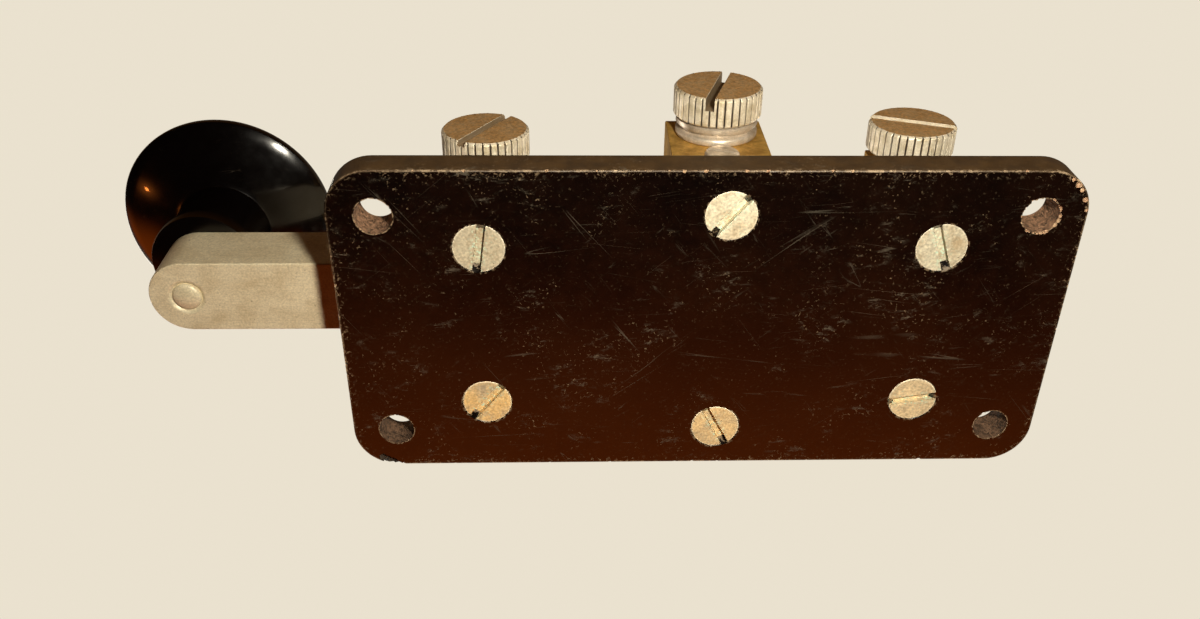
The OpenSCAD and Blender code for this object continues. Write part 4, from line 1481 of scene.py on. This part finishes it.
def make_world(colours):
    """A plain backdrop, a dark room with a soft glow round the back, and warm wood seen from below."""
    world = bpy.data.worlds.new("studio")
    bpy.context.scene.world = world
    world.use_nodes = True
    tree = world.node_tree
    tree.nodes.clear()
    way = put(tree, "SeparateXYZ", {0: put(tree, "TexCoord").outputs["Generated"]}).outputs
    path = put(tree, "LightPath").outputs
    slant = plus(tree, way["Y"], times(tree, way["Z"], 0.25))
    wood = times(tree, ramp(tree, slant, 0.2, 0.46), ramp(tree, way["Z"], 0.1, -0.15))
    wood = times(tree, wood, ramp(tree, way["X"], 0.6, 0.42))
    wood = times(tree, wood, path["Is Glossy Ray"])
    room = mix(tree, wood, colours.room, colours.wood)
    glow = times(tree, ramp(tree, way["Z"], 0.0, 0.25), ramp(tree, way["Z"], 0.85, 0.5, 0.15, 1.0))
    glow = times(tree, glow, ramp(tree, way["Y"], -0.6, 0.3, 0.2, 1.0))
    tint = mix(tree, ramp(tree, way["Y"], -0.5, 0.3), colours.near_glow, colours.far_glow)
    room = mix(tree, glow, room, tint)
    seen = most(tree, path["Is Camera Ray"], path["Is Transmission Ray"])
    background = put(tree, "Background", {"Color": mix(tree, seen, room, colours.backdrop), "Strength": 1.0})
    put(tree, "OutputWorld", {"Surface": background.outputs[0]})


def add_lamp(name, place, target, width, power, tint, mirrored):
    """A square soft lamp that looks at a point, and that polished surfaces may mirror."""
    lamp = bpy.data.lights.new(name, "AREA")
    lamp.size = width
    lamp.energy = power
    lamp.color = tint
    holder = bpy.data.objects.new(name, lamp)
    bpy.context.scene.collection.objects.link(holder)
    holder.location = place
    holder.rotation_euler = (Vector(target) - Vector(place)).to_track_quat("-Z", "Y").to_euler()
    holder.visible_camera = False
    holder.visible_glossy = mirrored


def make_camera():
    """The camera at the photograph's viewing angle, looking up at the key's underside."""
    across = Vector((0.999307, -0.0150736, -0.0340336))
    down = Vector((-0.0067027, 0.8265153, -0.5628743))
    ahead = Vector((0.0366139, 0.5627124, 0.825842))
    place = Vector((-21.08, -93.6, -157.78)) * MM
    camera = bpy.data.cameras.new("camera")
    camera.sensor_width = 36
    camera.lens = 34.221
    camera.shift_x = -0.01195
    camera.shift_y = 0.0754
    camera.clip_start = 0.005
    camera.clip_end = 20
    holder = bpy.data.objects.new("camera", camera)
    bpy.context.scene.collection.objects.link(holder)
    turn = Matrix((across, -down, -ahead)).transposed().to_4x4()
    holder.matrix_world = Matrix.Translation(place) @ turn
    bpy.context.scene.camera = holder


# Operators


class KEY_OT_stage(bpy.types.Operator):
    """Adds the floor, the world, the lamps and the camera"""

    bl_idname = "key.stage"
    bl_label = "Stage"

    def execute(self, context):
        context.scene.view_settings.view_transform = "Standard"
        colours = context.scene.key_colours
        make_floor(colours)
        make_world(colours)
        for name, given in LAMPS.items():
            add_lamp(name, *given)
        make_camera()
        return {"FINISHED"}


class KEY_OT_base(bpy.types.Operator):
    """Models the moulded base plate with its holes and chipped edges"""

    bl_idname = "key.base"
    bl_label = "Base plate"

    def execute(self, context):
        make_base(context.scene.key_sizes)
        return {"FINISHED"}


class KEY_OT_base_screws(bpy.types.Operator):
    """Models one countersunk screw and copies it to its six places"""

    bl_idname = "key.base_screws"
    bl_label = "Base screws"

    def execute(self, context):
        make_base_screws(context.scene.key_sizes)
        return {"FINISHED"}


class KEY_OT_lever(bpy.types.Operator):
    """Models the lever bar"""

    bl_idname = "key.lever"
    bl_label = "Lever"

    def execute(self, context):
        make_lever(context.scene.key_sizes)
        return {"FINISHED"}


class KEY_OT_knob(bpy.types.Operator):
    """Turns the knob and its stud"""

    bl_idname = "key.knob"
    bl_label = "Knob and stud"

    def execute(self, context):
        make_knob()
        make_stud()
        return {"FINISHED"}


class KEY_OT_terminals(bpy.types.Operator):
    """Models the knurled terminal screws, their washers and the grooved collar"""

    bl_idname = "key.terminals"
    bl_label = "Terminals"

    def execute(self, context):
        for make in (make_terminal_screws, make_washers, make_collar):
            make(context.scene.key_sizes)
        return {"FINISHED"}


class KEY_OT_brackets(bpy.types.Operator):
    """Models the three brass brackets"""

    bl_idname = "key.brackets"
    bl_label = "Brackets"

    def execute(self, context):
        for place in ("front", "rear"):
            make_contact_bracket(place, context.scene.key_sizes)
        make_pivot_bracket(context.scene.key_sizes)
        return {"FINISHED"}


class KEY_OT_pivot(bpy.types.Operator):
    """Turns the pointed axle and the two pivot screws"""

    bl_idname = "key.pivot"
    bl_label = "Pivot"

    def execute(self, context):
        make_pivot_screws(context.scene.key_sizes)
        make_axle()
        return {"FINISHED"}


class KEY_OT_contacts(bpy.types.Operator):
    """Turns the anvils and the lever's contact"""

    bl_idname = "key.contacts"
    bl_label = "Contacts"

    def execute(self, context):
        make_contacts()
        return {"FINISHED"}


class KEY_OT_spring(bpy.types.Operator):
    """Winds the return spring"""

    bl_idname = "key.spring"
    bl_label = "Return spring"

    def execute(self, context):
        make_spring(context.scene.key_sizes)
        return {"FINISHED"}


class KEY_OT_adjusters(bpy.types.Operator):
    """Models the spring and gap screws with their lock nuts"""

    bl_idname = "key.adjusters"
    bl_label = "Adjusting screws"

    def execute(self, context):
        for place in ("spring", "gap"):
            make_adjusting_screw(place, context.scene.key_sizes)
            make_lock_nut(place, context.scene.key_sizes)
        return {"FINISHED"}


STEPS = (
    KEY_OT_stage, KEY_OT_base, KEY_OT_base_screws, KEY_OT_lever, KEY_OT_knob, KEY_OT_terminals,
    KEY_OT_brackets, KEY_OT_pivot, KEY_OT_contacts, KEY_OT_spring, KEY_OT_adjusters,
)


class KEY_PT_pieces(bpy.types.Panel):
    """Lists the steps that model the key"""

    bl_idname = "KEY_PT_pieces"
    bl_label = "Telegraph key"
    bl_space_type = "VIEW_3D"
    bl_region_type = "UI"
    bl_category = "Key"

    def draw(self, context):
        for step in STEPS:
            self.layout.operator(step.bl_idname)


CLASSES = (KeySizes, KeyColours, *STEPS, KEY_PT_pieces)


def register():
    """Makes the steps, their sizes and colours known to Blender."""
    for cls in CLASSES:
        bpy.utils.register_class(cls)
    bpy.types.Scene.key_sizes = bpy.props.PointerProperty(type=KeySizes)
    bpy.types.Scene.key_colours = bpy.props.PointerProperty(type=KeyColours)


def unregister():
    """Takes them away again."""
    del bpy.types.Scene.key_colours
    del bpy.types.Scene.key_sizes
    for cls in reversed(CLASSES):
        bpy.utils.unregister_class(cls)


def main():
    """Models every piece."""
    register()
    for step in STEPS:
        area, name = step.bl_idname.split(".")
        getattr(getattr(bpy.ops, area), name)()


if __name__ == "__main__":
    main()
